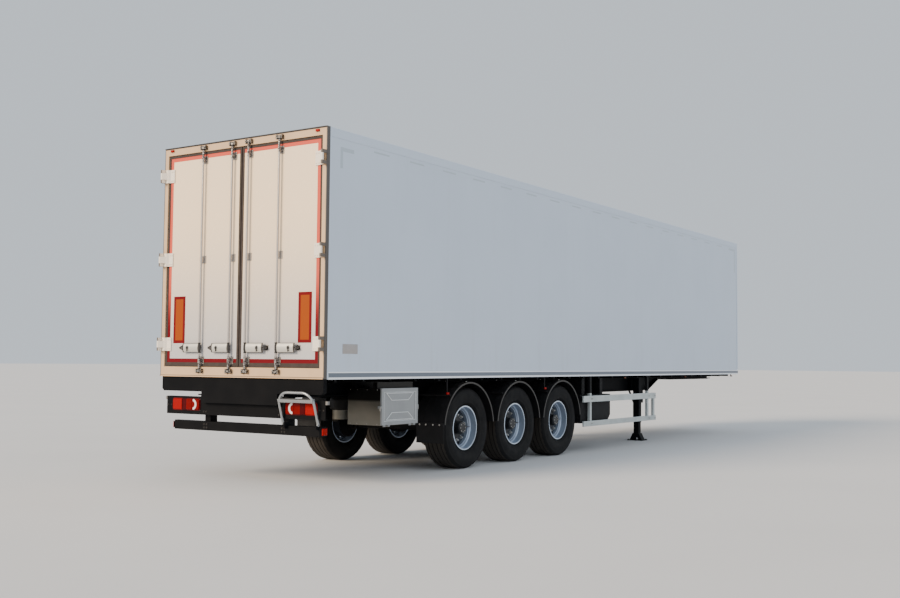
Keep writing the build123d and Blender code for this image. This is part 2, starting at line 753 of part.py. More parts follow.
def hinge_strap(z):
    """Hinge strap on the right-hand leaf, stepped over the frame, with its arm to the pin."""
    face = LEAF_FACE - STRAP_THICKNESS
    post_x = -STRAP_POST_CLEARANCE
    post_face = post_x - STRAP_THICKNESS
    inner = -OPENING_Y + STRAP_REACH
    step_from = -LEAF_OUTER_Y
    step_to = step_from - (LEAF_FACE - post_x)
    outer = -OPENING_Y - STRAP_POST_COVER
    plate_outline = [
        (LEAF_FACE, inner),
        (LEAF_FACE, step_from),
        (post_x, step_to),
        (post_x, outer),
        (post_face, outer),
        (post_face, step_to + SEAL_GAP),
        (face, step_from + SEAL_GAP),
        (face, inner),
    ]
    tangent = HINGE_KNUCKLE_RADIUS * math.sqrt(0.5)
    arm_outline = [
        (post_x, outer),
        (post_x, -OPENING_Y),
        (post_face, step_to),
        (HINGE_PIN_X - tangent, -HINGE_PIN_Y + tangent),
        (HINGE_PIN_X + tangent, -HINGE_PIN_Y - tangent),
    ]
    z_range = about(z, HINGE_HEIGHT)
    arm_z = about(z, HINGE_ARM_HEIGHT)
    plate = prism_xy(plate_outline, *z_range)
    arm = prism_xy(arm_outline, *arm_z)
    knuckle = rod_along_z(HINGE_KNUCKLE_RADIUS, HINGE_PIN_X, -HINGE_PIN_Y, *arm_z)
    bore = rod_along_z(HINGE_PIN_RADIUS + PIN_FIT, HINGE_PIN_X, -HINGE_PIN_Y, *z_range)
    return plate + arm + knuckle - bore


def rod_cam(y, z_range):
    """Cam at one end of a locking rod."""
    hub = rod_along_z(CAM_HUB_RADIUS, ROD_X, y, *z_range)
    horn = block((ROD_X - CAM_DEPTH, ROD_X), about(y, CAM_WIDTH), z_range)
    return hub + horn


def rod_guide(y, z):
    """Guide of a locking rod, with its foot on the door leaf."""
    z_range = about(z, GUIDE_HEIGHT)
    hub = rod_along_z(GUIDE_RADIUS, ROD_X, y, *z_range)
    neck = block((ROD_X, LEAF_FACE), about(y, 2 * GUIDE_RADIUS), z_range)
    foot_x = (LEAF_FACE - GUIDE_FOOT_SHEET, LEAF_FACE)
    foot = block(foot_x, about(y, GUIDE_FOOT_WIDTH), about(z, GUIDE_FOOT_HEIGHT))
    return joined([hub, neck, foot])


def rod_handle(y):
    """Curved handle on its hub, with a nose and an eye at the right-hand end."""
    hub = rod_along_z(GUIDE_RADIUS, ROD_X, y, *about(HANDLE_Z, HANDLE_HUB_HEIGHT))
    low, high = about(HANDLE_Z, HANDLE_HEIGHT)
    edge_x = -HANDLE_EDGE_BACK
    crown_x = edge_x - HANDLE_CROWN
    outer = ThreePointArc((edge_x, y, low), (crown_x, y, HANDLE_Z), (edge_x, y, high))
    inner = ThreePointArc(
        (edge_x + HANDLE_SHEET, y, high),
        (crown_x + HANDLE_SHEET, y, HANDLE_Z),
        (edge_x + HANDLE_SHEET, y, low),
    )
    section = make_face([outer, Line(outer @ 1, inner @ 0), inner, Line(inner @ 1, outer @ 0)])
    cover = extrude(section, amount=CATCH_REACH, dir=(0, -1, 0))
    nose_x = about(ROD_X, CATCH_WIDTH)
    nose_z = about(HANDLE_Z, CATCH_HEIGHT - 2 * CATCH_WIDTH - 2 * CATCH_SLOT_GAP)
    nose = block(nose_x, (y - HANDLE_REACH, y), nose_z)
    eye = rod_along_x(2 * CATCH_EYE_RADIUS, y - HANDLE_REACH, HANDLE_Z, *nose_x)
    hole = rod_along_x(CATCH_EYE_RADIUS, y - HANDLE_REACH, HANDLE_Z, *nose_x)
    return joined([hub, cover, nose, eye]) - hole


def handle_catch(y):
    """Fork on the door leaf that holds the nose of a handle, open to the rear."""
    middle = y - (CATCH_REACH + HANDLE_REACH) / 2
    slot = CATCH_HEIGHT - 2 * CATCH_WIDTH
    fork_x = (ROD_X - CATCH_WIDTH, LEAF_FACE)
    fork = block(fork_x, about(middle, CATCH_WIDTH), about(HANDLE_Z, CATCH_HEIGHT))
    fork = fork - block((2 * ROD_X, 0), about(middle, 2 * CATCH_WIDTH), about(HANDLE_Z, slot))
    foot_x = (LEAF_FACE - CATCH_FOOT_SHEET, LEAF_FACE)
    foot = block(foot_x, about(middle, CATCH_FOOT_WIDTH), about(HANDLE_Z, CATCH_FOOT_WIDTH))
    return fork + foot


def locking_rod(y):
    """Locking rod with its cams, guides and handle, which points to the right."""
    pieces = [rod_along_z(ROD_RADIUS, ROD_X, y, ROD_BOTTOM, ROD_TOP)]
    pieces.append(rod_cam(y, (ROD_BOTTOM, ROD_BOTTOM + CAM_HEIGHT)))
    pieces.append(rod_cam(y, (ROD_TOP - CAM_HEIGHT, ROD_TOP)))
    pieces += [rod_guide(y, z) for z in guide_heights()]
    pieces.append(rod_handle(y))
    return joined(pieces)


def door_hardware():
    """Hinge straps, locking rods and handle catches of the right-hand door."""
    pieces = [hinge_strap(z) for z in hinge_heights()]
    for y in (-ROD_OUTER, -ROD_INNER):
        pieces += [locking_rod(y), handle_catch(y)]
    return pieces


def marker_board():
    """Blank reflective board on the right-hand door."""
    outer = -HALF_WIDTH + BOARD_OUTER_INSET
    low = FLOOR_TOP + BOARD_RISE
    board_x = (LEAF_FACE - BOARD_THICKNESS, LEAF_FACE)
    return block(board_x, (outer, outer + BOARD_WIDTH), (low, low + BOARD_HEIGHT))


def i_beam(lower):
    """Right-hand I-beam above a lower edge of X and Z points, its top under the floor."""
    top = CROSS_UNDERSIDE
    start, end = lower[0][0], lower[-1][0]
    raised = [(x, z + BEAM_FLANGE) for x, z in lower]
    web_outline = lower + [(end, top), (start, top)]
    flange_y = about(-BEAM_Y, BEAM_FLANGE_WIDTH)
    web = prism_xz(web_outline, *about(-BEAM_Y, BEAM_WEB))
    low_flange = prism_xz(lower + raised[::-1], *flange_y)
    top_flange = block((start, end), flange_y, (top - BEAM_FLANGE, top))
    return joined([web, low_flange, top_flange])


def main_beam():
    """Right-hand main beam, lifted at the rear, up to the end of its slope to the neck."""
    lower = [
        (BEAM_START, BEAM_REAR_Z),
        (BEAM_REAR_END, BEAM_REAR_Z),
        (BEAM_REAR_END + BEAM_REAR_SLOPE, BEAM_LOW_Z),
        (NECK_START, BEAM_LOW_Z),
        (NECK_START + NECK_SLOPE, NECK_Z),
    ]
    return i_beam(lower)


def neck_beam():
    """Right-hand beam of the neck, welded to the main beam's front end."""
    return i_beam([(NECK_START + NECK_SLOPE, NECK_Z), (BEAM_END, NECK_Z)])


def cross_member(x):
    """Cross member under the floor."""
    across = (-CROSS_REACH, CROSS_REACH)
    return block(about(x, CROSS_WIDTH), across, (CROSS_UNDERSIDE, FLOOR_UNDERSIDE))


def rear_beam():
    """Deep cross beam under the door frame, with cut lower corners and a deeper middle."""
    reach = REAR_BEAM_REACH
    cut = REAR_BEAM_CORNER
    outline = [
        (-reach, FLOOR_UNDERSIDE),
        (-reach, REAR_BEAM_Z + cut),
        (-reach + cut, REAR_BEAM_Z),
        (-REAR_BEAM_DEEP_HALF, REAR_BEAM_Z),
        (-REAR_BEAM_DEEP_HALF, REAR_BEAM_DEEP_Z),
        (REAR_BEAM_DEEP_HALF, REAR_BEAM_DEEP_Z),
        (REAR_BEAM_DEEP_HALF, REAR_BEAM_Z),
        (reach - cut, REAR_BEAM_Z),
        (reach, REAR_BEAM_Z + cut),
        (reach, FLOOR_UNDERSIDE),
    ]
    return prism_yz(outline, REAR_BEAM_START, BEAM_START)


def coupling_plate():
    """Rubbing plate under the neck, with the king pin in it."""
    half_width = BEAM_Y + BEAM_FLANGE_WIDTH / 2 + COUPLING_OVERHANG
    front = BODY_LENGTH - COUPLING_SETBACK
    underside = NECK_Z - COUPLING_PLATE
    plate_x = (front - COUPLING_LENGTH, front)
    plate = block(plate_x, (-half_width, half_width), (underside, NECK_Z))
    pin_x = BODY_LENGTH - KING_PIN_SETBACK
    neck_top = underside - KING_PIN_COLLAR_LENGTH
    neck_bottom = neck_top - KING_PIN_NECK_LENGTH
    foot_bottom = neck_bottom - KING_PIN_FOOT_LENGTH
    collar = rod_along_z(KING_PIN_COLLAR, pin_x, 0, neck_top, underside)
    neck = rod_along_z(KING_PIN_NECK, pin_x, 0, neck_bottom, neck_top)
    foot = rod_along_z(KING_PIN_FOOT, pin_x, 0, foot_bottom, neck_bottom)
    return joined([plate, collar, neck, foot])


def coupling_panel():
    """Panel of air couplings and sockets on the front wall."""
    face = FRONT_SKIN_X + COUPLING_PANEL_SHEET
    end = BODY_LENGTH + FRONT_REACH
    z = FLOOR_UNDERSIDE + COUPLING_PANEL_RISE + COUPLING_PANEL_HEIGHT / 2
    panel_y = about(0, COUPLING_PANEL_WIDTH)
    panel = block((FRONT_SKIN_X, face), panel_y, about(z, COUPLING_PANEL_HEIGHT))
    pieces = [rounded(panel, Axis.X, COUPLING_CAP)]
    for y, body_radius, cap_radius in COUPLINGS:
        pieces.append(rod_along_x(body_radius, y, z, face, end))
        pieces.append(rod_along_x(cap_radius, y, z, end - COUPLING_CAP, end))
    return joined(pieces)


def tyre():
    """Tyre of a wheel whose middle plane is the XZ plane, axis along Y."""
    half = TYRE_WIDTH / 2
    seat = RIM_SEAT + BEARING_GAP
    bead = RIM_WIDTH / 2 - RIM_LIP - BEAD_GAP
    foot = (RIM_FLANGE + TYRE_FOOT_RISE, half - TYRE_FOOT_INSET)
    shoulder = (TYRE_RADIUS - TYRE_SHOULDER_DROP, half - TYRE_SHOULDER_INSET)
    edge = (TYRE_RADIUS - TYRE_EDGE_DROP, half - TYRE_EDGE_INSET)
    crown = (TYRE_RADIUS, half - TYRE_CROWN_INSET)
    flange = (RIM_FLANGE + TYRE_FLANGE_GAP, bead)
    sides = []
    for sign in (-1, 1):
        seat_end, flange_end, foot_end, widest, shoulder_end, edge_end, crown_end = (
            (radius, sign * out)
            for radius, out in (
                (seat, bead), flange, foot, (TYRE_SIDE_RADIUS, half), shoulder, edge, crown
            )
        )
        sides += [
            Polyline(seat_end, flange_end, foot_end),
            ThreePointArc(foot_end, widest, shoulder_end),
            ThreePointArc(shoulder_end, edge_end, crown_end),
        ]
    tread = Line((crown[0], -crown[1]), crown)
    bottom = Line((seat, -bead), (seat, bead))
    return revolve(make_face(sides + [tread, bottom]), Axis.Y, 360)


def rim_outline():
    """Half section of the rim: radius and distance outwards from the middle plane."""
    half = RIM_WIDTH / 2
    slope = RIM_WELL_HALF + RIM_WELL_SLOPE
    inner_seat = RIM_SEAT - RIM_SHEET
    inner_well = RIM_WELL - RIM_SHEET
    outside = [
        (RIM_FLANGE, -half),
        (RIM_FLANGE, -half + RIM_SHEET),
        (RIM_SEAT, -half + RIM_LIP),
        (RIM_SEAT, -slope),
        (RIM_WELL, -RIM_WELL_HALF),
        (RIM_WELL, RIM_WELL_HALF),
        (RIM_SEAT, slope),
        (RIM_SEAT, half - RIM_LIP),
        (RIM_FLANGE, half - RIM_SHEET),
        (RIM_FLANGE, half),
    ]
    inside = [
        (inner_seat, half),
        (inner_seat, slope + RIM_INNER_SHIFT),
        (inner_well, RIM_WELL_HALF + RIM_INNER_SHIFT),
        (inner_well, -RIM_WELL_HALF - RIM_INNER_SHIFT),
        (inner_seat, -slope - RIM_INNER_SHIFT),
        (inner_seat, -half),
    ]
    return outside + inside


def wheel_disc():
    """Dished disc of a right-hand wheel, with its ring of hand holes."""
    outer = RIM_WELL - RIM_SHEET / 2
    disc = turned([
        (0, 0),
        (DISC_FLAT, 0),
        (outer, -DISC_DISH),
        (outer, DISC_THICKNESS - DISC_DISH),
        (DISC_FLAT, DISC_THICKNESS),
        (0, DISC_THICKNESS),
    ])
    for index in range(HAND_HOLE_COUNT):
        angle = math.radians(360.0 / HAND_HOLE_COUNT * index)
        hole_x = HAND_HOLE_CIRCLE * math.cos(angle)
        hole_z = HAND_HOLE_CIRCLE * math.sin(angle)
        disc = disc - rod_along_y(HAND_HOLE_RADIUS, hole_x, hole_z, *about(0, 2 * HUB_FLANGE_THICKNESS))
    return disc


def wheel_hub():
    """Hub of a right-hand wheel with its cap, flange and brake drum."""
    flange_in = -HUB_FLANGE_THICKNESS
    drum_face = flange_in + DRUM_WALL
    cap_edge = HUB_CAP_RADIUS - HUB_CAP_CHAMFER
    return turned([
        (0, HUB_REACH),
        (cap_edge, HUB_REACH),
        (HUB_CAP_RADIUS, HUB_REACH - HUB_CAP_CHAMFER),
        (HUB_CAP_RADIUS, HUB_CAP_START),
        (HUB_BARREL, HUB_CAP_START),
        (HUB_BARREL, HUB_PILOT),
        (DISC_BORE, HUB_PILOT),
        (DISC_BORE, 0),
        (HUB_FLANGE, 0),
        (HUB_FLANGE, drum_face),
        (DRUM_RADIUS, drum_face),
        (DRUM_RADIUS, -DRUM_REACH),
        (DRUM_RADIUS - DRUM_WALL, -DRUM_REACH),
        (DRUM_RADIUS - DRUM_WALL, flange_in),
        (HUB_BARREL, flange_in),
        (HUB_BARREL, -HUB_INNER_REACH),
        (0, -HUB_INNER_REACH),
    ])


def wheel_rim():
    """Rim, disc and hub of a right-hand wheel, in one solid with its brake drum."""
    bore = SPINDLE_RADIUS + BEARING_GAP
    hole = rod_along_y(bore, 0, 0, -HUB_BORE_DEPTH, 2 * HUB_INNER_REACH)
    return joined([turned(rim_outline()), wheel_disc(), wheel_hub()]) - hole


def brake_chamber(x, y):
    """Brake chamber behind the axle at x, with its clamp band and bracket."""
    z = TYRE_RADIUS + CHAMBER_RISE
    front = x - AXLE_RADIUS
    can = rod_along_x(CHAMBER_RADIUS, y, z, front - CHAMBER_LENGTH, front)
    can = fillet(can.edges().filter_by(GeomType.CIRCLE), CHAMBER_EDGE)
    band_middle = front - CHAMBER_LENGTH / 2
    band = rod_along_x(CHAMBER_BAND_RADIUS, y, z, *about(band_middle, CHAMBER_BAND))
    bracket_z = (TYRE_RADIUS, z + CHAMBER_RADIUS - CHAMBER_EDGE)
    bracket = block((front, x), about(y, CHAMBER_BRACKET), bracket_z)
    return joined([can, band, bracket])


def axle_beam(x):
    """Axle tube with its spindles, dust shields and the two brake chambers on it."""
    z = TYRE_RADIUS
    spindle_end = WHEEL_Y + SPINDLE_REACH
    pieces = [rod_along_y(AXLE_RADIUS, x, z, -AXLE_TUBE_END, AXLE_TUBE_END)]
    pieces.append(rod_along_y(SPINDLE_RADIUS, x, z, -spindle_end, spindle_end))
    shield = rod_along_y(SHIELD_RADIUS, x, z, -AXLE_TUBE_END - SHIELD_SHEET, -AXLE_TUBE_END)
    chamber = brake_chamber(x, -CHAMBER_Y)
    pieces += [shield, other_side(shield), chamber, other_side(chamber)]
    return joined(pieces)


def hanger(pivot_x):
    """Right-hand hanger bracket under the beam: two cheeks, a front web and the pivot."""
    inside = ARM_WIDTH + 2 * HANGER_FIT
    whole = inside + 2 * HANGER_CHEEK
    outline = [
        (pivot_x - HANGER_LOW_LENGTH / 2, HANGER_BOTTOM),
        (pivot_x + HANGER_LOW_LENGTH / 2, HANGER_BOTTOM),
        (pivot_x + HANGER_TOP_LENGTH / 2, BEAM_LOW_Z),
        (pivot_x - HANGER_TOP_LENGTH / 2, BEAM_LOW_Z),
    ]
    cheeks = prism_xz(outline, *about(-BEAM_Y, whole))
    room_x = (pivot_x - HANGER_TOP_LENGTH, pivot_x + HANGER_LOW_LENGTH / 2 - HANGER_CHEEK)
    room_z = (0, HANGER_BOTTOM + HANGER_ROOM)
    room = block(room_x, about(-BEAM_Y, inside), room_z)
    pivot_z = TYRE_RADIUS + ARM_EYE_RISE
    pivot = rod_along_y(PIVOT_RADIUS, pivot_x, pivot_z, *about(-BEAM_Y, whole + 2 * HANGER_CHEEK))
    return cheeks - room + pivot


def axle_clamp(x, top):
    """Bolts round the axle at x and the plate under it, up to the top of the arm."""
    low = TYRE_RADIUS - AXLE_RADIUS - BEARING_GAP
    length = 2 * (CLAMP_BOLT_X + CLAMP_BOLT_RADIUS)
    plate = block(about(x, length), about(-BEAM_Y, ARM_WIDTH), (low - CLAMP_PLATE, low))
    pieces = [plate]
    for along in (-CLAMP_BOLT_X, CLAMP_BOLT_X):
        for across in (-CLAMP_BOLT_Y, CLAMP_BOLT_Y):
            y = -BEAM_Y + across
            end = top + 2 * CLAMP_BOLT_RADIUS
            pieces.append(rod_along_z(CLAMP_BOLT_RADIUS, x + along, y, low - CLAMP_PLATE, end))
    return joined(pieces)


def shock_absorber(x, low_z):
    """Shock absorber ahead of the axle at x, from the arm up to the beam."""
    low = (x + SHOCK_LOW_AHEAD, -BEAM_Y, low_z)
    high = (x + SHOCK_TOP_AHEAD, -BEAM_Y, BEAM_LOW_Z - SHOCK_EYE_RADIUS)
    body = slanting_rod(SHOCK_RADIUS, low, high)
    eye_y = about(-BEAM_Y, SHOCK_EYE_WIDTH)
    eye = rod_along_y(SHOCK_EYE_RADIUS, high[0], high[2], *eye_y)
    foot = block(about(high[0], 2 * SHOCK_RADIUS), eye_y, (high[2], BEAM_LOW_Z))
    return joined([body, eye, foot])


def suspension_arm(x):
    """Right-hand hanger, trailing arm, axle clamp and shock absorber of the axle at x."""
    pivot_x = x + HANGER_AHEAD
    pivot_z = TYRE_RADIUS + ARM_EYE_RISE
    seat = TYRE_RADIUS + AXLE_RADIUS + BEARING_GAP
    top = seat + ARM_DEPTH
    spring_x = x - SPRING_BEHIND
    tail_x = spring_x - SPRING_PISTON_RADIUS
    outline = [
        (pivot_x, pivot_z - ARM_DEPTH / 2),
        (pivot_x, pivot_z + ARM_DEPTH / 2),
        (x + SEAT_LENGTH / 2, top),
        (x - SEAT_LENGTH / 2, top),
        (spring_x + SPRING_PISTON_RADIUS, SPRING_BOTTOM),
        (tail_x, SPRING_BOTTOM),
        (tail_x, SPRING_BOTTOM - ARM_TAIL),
        (x - SEAT_LENGTH / 2, seat),
        (x + SEAT_LENGTH / 2, seat),
    ]
    arm_y = about(-BEAM_Y, ARM_WIDTH)
    arm = prism_xz(outline, *arm_y)
    eye = rod_along_y(ARM_EYE_RADIUS, pivot_x, pivot_z, *arm_y)
    return joined([hanger(pivot_x), arm, eye, axle_clamp(x, top), shock_absorber(x, top)])


def air_spring(x):
    """Right-hand air spring of the axle at x: piston, bellows and top plate."""
    spring_x = x - SPRING_BEHIND
    piston_top = SPRING_BOTTOM + SPRING_PISTON_HEIGHT
    plate_low = BEAM_LOW_Z - SPRING_PLATE
    bulge = (piston_top + plate_low) / 2
    piston = rod_along_z(SPRING_PISTON_RADIUS, spring_x, -BEAM_Y, SPRING_BOTTOM, bulge)
    plate = rod_along_z(SPRING_PLATE_RADIUS, spring_x, -BEAM_Y, bulge, BEAM_LOW_Z)
    bellows = rod_along_z(SPRING_RADIUS, spring_x, -BEAM_Y, piston_top, plate_low)
    bellows = fillet(bellows.edges().filter_by(GeomType.CIRCLE), SPRING_ROLL)
    return joined([piston, bellows, plate])


def air_tank(y):
    """Air reservoir along the chassis, with two bands, on saddles under the cross members."""
    z = CROSS_UNDERSIDE - TANK_RADIUS - TANK_DROP
    tank = rod_along_x(TANK_RADIUS, y, z, *about(TANK_X, TANK_LENGTH))
    tank = fillet(tank.edges().filter_by(GeomType.CIRCLE), TANK_DOME)
    pieces = [tank]
    for x in (TANK_X - TANK_LENGTH / 4, TANK_X + TANK_LENGTH / 4):
        band_x = about(x, TANK_BAND_WIDTH)
        pieces.append(rod_along_x(TANK_RADIUS + TANK_BAND, y, z, *band_x))
        saddle_z = (z + TANK_SADDLE, CROSS_UNDERSIDE)
        pieces.append(block(about(x, TANK_SADDLE), about(y, TANK_SADDLE), saddle_z))
    return joined(pieces)


def mudguard(x):
    """Right-hand half-round mudguard of the wheel at x, on two stays from the beam."""
    z = TYRE_RADIUS
    outer = GUARD_RADIUS + GUARD_SHEET
    y_range = (-GUARD_OUTER, -GUARD_INNER)
    valance_y = (-GUARD_OUTER, -GUARD_OUTER + GUARD_SHEET)
    solid = rod_along_y(outer, x, z, *y_range)
    for share in GUARD_RIB_PLACES:
        rib_y = about(-GUARD_OUTER + share * (GUARD_OUTER - GUARD_INNER), GUARD_RIB_WIDTH)
        solid = solid + rod_along_y(outer + GUARD_RIB, x, z, *rib_y)
    ring = solid - rod_along_y(GUARD_RADIUS, x, z, valance_y[1], y_range[1])
    ring = ring - rod_along_y(GUARD_RADIUS - GUARD_VALANCE, x, z, *valance_y)
    end_rise = outer * math.sin(math.radians(GUARD_END_ANGLE))
    guard = ring - block(about(x, 4 * outer), about(0, 2 * BODY_WIDTH), (z - 2 * outer, z + end_rise))
    reach = outer + STAY_RADIUS - STAY_SINK
    stay_y = (-GUARD_OUTER + STAY_INSET, -BEAM_Y - BEAM_WEB / 2)
    for angle in (STAY_ANGLE, 180.0 - STAY_ANGLE):
        stay_x = x + reach * math.cos(math.radians(angle))
        stay_z = z + reach * math.sin(math.radians(angle))
        guard = guard + rod_along_y(STAY_RADIUS, stay_x, stay_z, *stay_y)
    return guard


def mudflap():
    """Right-hand flap behind the rearmost wheel, with the bar that clamps it."""
    start = AXLE_FIRST - GUARD_RADIUS - GUARD_SHEET
    flap_y = (-GUARD_OUTER + FLAP_INSET, -GUARD_INNER - FLAP_INSET)
    flap = block((start, start + FLAP_THICKNESS), flap_y, (FLAP_BOTTOM, FLAP_TOP))
    bar = block((start - FLAP_BAR, start), flap_y, (FLAP_TOP - FLAP_BAR_HEIGHT, FLAP_TOP))
    return flap + bar


def side_rail(z_range):
    """Right-hand side guard rail, an aluminium section with a groove along its outer face."""
    rail_y = (-SIDE_RAIL_OUT, -SIDE_RAIL_OUT + SIDE_RAIL_THICKNESS)
    rail = block((SIDE_GUARD_START, SIDE_GUARD_END), rail_y, z_range)
    rail = rounded(rail, Axis.X, SIDE_RAIL_RADIUS)
    low, high = z_range
    groove_z = about((low + high) / 2, (high - low) * SIDE_RAIL_GROOVE_SHARE)
    groove_y = (-HALF_WIDTH, -SIDE_RAIL_OUT + SIDE_RAIL_GROOVE)
    return rail - block((0, BODY_LENGTH), groove_y, groove_z)


def side_guard():
    """Right-hand side guard: two rails on two posts and an upright at the front end."""
    post_front = -SIDE_RAIL_OUT + SIDE_RAIL_THICKNESS
    post_y = (post_front, post_front + SIDE_POST_DEPTH)
    low = SIDE_RAIL_LOWER[0]
    pieces = [side_rail(SIDE_RAIL_UPPER), side_rail(SIDE_RAIL_LOWER)]
    for x in (SIDE_GUARD_START + SIDE_POST_INSET, SIDE_GUARD_END - SIDE_POST_INSET):
        pieces.append(block(about(x, SIDE_POST_WIDTH), post_y, (low, RAIL_BOTTOM)))
    end_x = (SIDE_GUARD_END - SIDE_POST_WIDTH, SIDE_GUARD_END)
    pieces.append(block(end_x, post_y, (low, SIDE_RAIL_UPPER[1])))
    return joined(pieces)


def leg_foot():
    """Foot of the right-hand leg: a plate and a flared block with an arch through it."""
    half_top = LEG_INNER_TUBE / 2 + FOOT_PLATE / 2
    half_low = FOOT_WIDTH / 2 - 2 * FOOT_PLATE
    plate = block(about(LEG_X, FOOT_LENGTH), about(-LEG_Y, FOOT_WIDTH), (0, FOOT_PLATE))
    outline = [
        (-LEG_Y - half_low, FOOT_PLATE),
        (-LEG_Y + half_low, FOOT_PLATE),
        (-LEG_Y + half_top, FOOT_HEIGHT),
        (-LEG_Y - half_top, FOOT_HEIGHT),
    ]
    cheek_x = about(LEG_X, FOOT_CHEEK_LENGTH)
    flare = prism_yz(outline, *cheek_x)
    arch = rod_along_x(FOOT_ARCH_RADIUS, -LEG_Y, FOOT_PLATE, *cheek_x)
    return flare - arch + plate


def leg_brace():
    """Bar from the right-hand leg back to the main beam's lower flange."""
    outer = -BEAM_Y - BEAM_FLANGE_WIDTH / 2
    top = BEAM_LOW_Z + BEAM_FLANGE
    outline = [
        (LEG_X, BRACE_LOW_Z),
        (LEG_X, BRACE_LOW_Z + BRACE_WIDTH),
        (LEG_X - BRACE_RUN + BRACE_WIDTH, top),
        (LEG_X - BRACE_RUN, top),
    ]
    return prism_xz(outline, outer - BRACE_BAR, outer)


def landing_leg():
    """Right-hand landing leg, lowered, with its bracket, gear housing, brace and foot."""
    tube = block(about(LEG_X, LEG_TUBE), about(-LEG_Y, LEG_TUBE), (LEG_TUBE_BOTTOM, LEG_TOP))
    tube = rounded(tube, Axis.Z, LEG_TUBE_RADIUS)
    inner_z = (FOOT_PLATE + FOOT_ARCH_RADIUS, LEG_TUBE_BOTTOM)
    inner_tube = block(about(LEG_X, LEG_INNER_TUBE), about(-LEG_Y, LEG_INNER_TUBE), inner_z)
    bracket_y = (-LEG_Y + LEG_TUBE / 2, -BEAM_Y - BEAM_WEB / 2)
    bracket_z = (BEAM_LOW_Z + BEAM_FLANGE, LEG_TOP)
    bracket = block(about(LEG_X, LEG_BRACKET_LENGTH), bracket_y, bracket_z)
    gear_x = (LEG_X + LEG_TUBE / 2, LEG_X + LEG_TUBE / 2 + GEAR_LENGTH)
    gear = block(gear_x, about(-LEG_Y, GEAR_WIDTH), about(LEG_SHAFT_Z, GEAR_HEIGHT))
    gear = rounded(gear, Axis.X, LEG_TUBE_RADIUS)
    return joined([tube, inner_tube, bracket, gear, leg_brace(), leg_foot()])


def crank():
    """Crank handle on the left-hand leg's outer side."""
    outer = LEG_Y + LEG_TUBE / 2
    arm_y = outer + CRANK_STUB
    low_x = LEG_X - CRANK_THROW * math.sin(math.radians(CRANK_ANGLE))
    low_z = LEG_SHAFT_Z - CRANK_THROW * math.cos(math.radians(CRANK_ANGLE))
    stub = rod_along_y(CRANK_RADIUS, LEG_X, LEG_SHAFT_Z, outer, arm_y + CRANK_RADIUS)
    arm = slanting_rod(CRANK_RADIUS, (LEG_X, arm_y, LEG_SHAFT_Z), (low_x, arm_y, low_z))
    grip = rod_along_y(CRANK_RADIUS, low_x, low_z, arm_y - CRANK_RADIUS, arm_y + CRANK_GRIP)
    return joined([stub, arm, grip])


def landing_legs():
    """Both legs, the shaft that joins their gears and the crank on the left-hand one."""
    leg = landing_leg()
    inner_face = LEG_Y - LEG_TUBE / 2
    shaft = rod_along_y(LEG_SHAFT_RADIUS, LEG_X, LEG_SHAFT_Z, -inner_face, inner_face)
    return joined([leg, other_side(leg), shaft, crank()])


def stowage_box():
    """Closed stowage box behind the right-hand side guard, its front lower edge cut off."""
    outline = [
        (STOWAGE_START, STOWAGE_BOTTOM),
        (STOWAGE_END - STOWAGE_CHAMFER, STOWAGE_BOTTOM),
        (STOWAGE_END, STOWAGE_BOTTOM + STOWAGE_CHAMFER),
        (STOWAGE_END, STOWAGE_TOP),
        (STOWAGE_START, STOWAGE_TOP),
    ]
    inner_y = -STOWAGE_OUT + STOWAGE_DEPTH
    box = prism_xz(outline, -STOWAGE_OUT, inner_y)
    pieces = [rounded(box, Axis.Y, STOWAGE_RADIUS)]
    hanger_y = (-STOWAGE_OUT + STOWAGE_HANGER_INSET, inner_y - STOWAGE_HANGER_INSET)
    for share in STOWAGE_HANGER_PLACES:
        hanger_x = about(STOWAGE_START + share * STOWAGE_LENGTH, STOWAGE_HANGER)
        pieces.append(block(hanger_x, hanger_y, (STOWAGE_TOP, CROSS_UNDERSIDE)))
    return joined(pieces)


def toolbox_hinge_places():
    """X of the two hinges of the toolbox door."""
    return [TOOLBOX_START + TOOLBOX_HINGE_INSET, TOOLBOX_END - TOOLBOX_HINGE_INSET]


def toolbox_hinge(x):
    """Fixed eye of a toolbox hinge with its leaf under the box and its pin."""
    y, z = TOOLBOX_HINGE_Y, TOOLBOX_HINGE_Z
    leaf_y = (y, -TOOLBOX_OUT + TOOLBOX_LEAF_REACH)
    leaf_z = (TOOLBOX_BOTTOM - TOOLBOX_WALL, TOOLBOX_BOTTOM)
    eye_x = about(x, TOOLBOX_EYE)
    pin_x = about(x, 3 * TOOLBOX_EYE)
    leaf = block(eye_x, leaf_y, leaf_z)
    eye = rod_along_x(TOOLBOX_HINGE_RADIUS, y, z, *eye_x)
    pin = rod_along_x(TOOLBOX_HINGE_PIN, y, z, *pin_x)
    return joined([leaf, eye, pin])


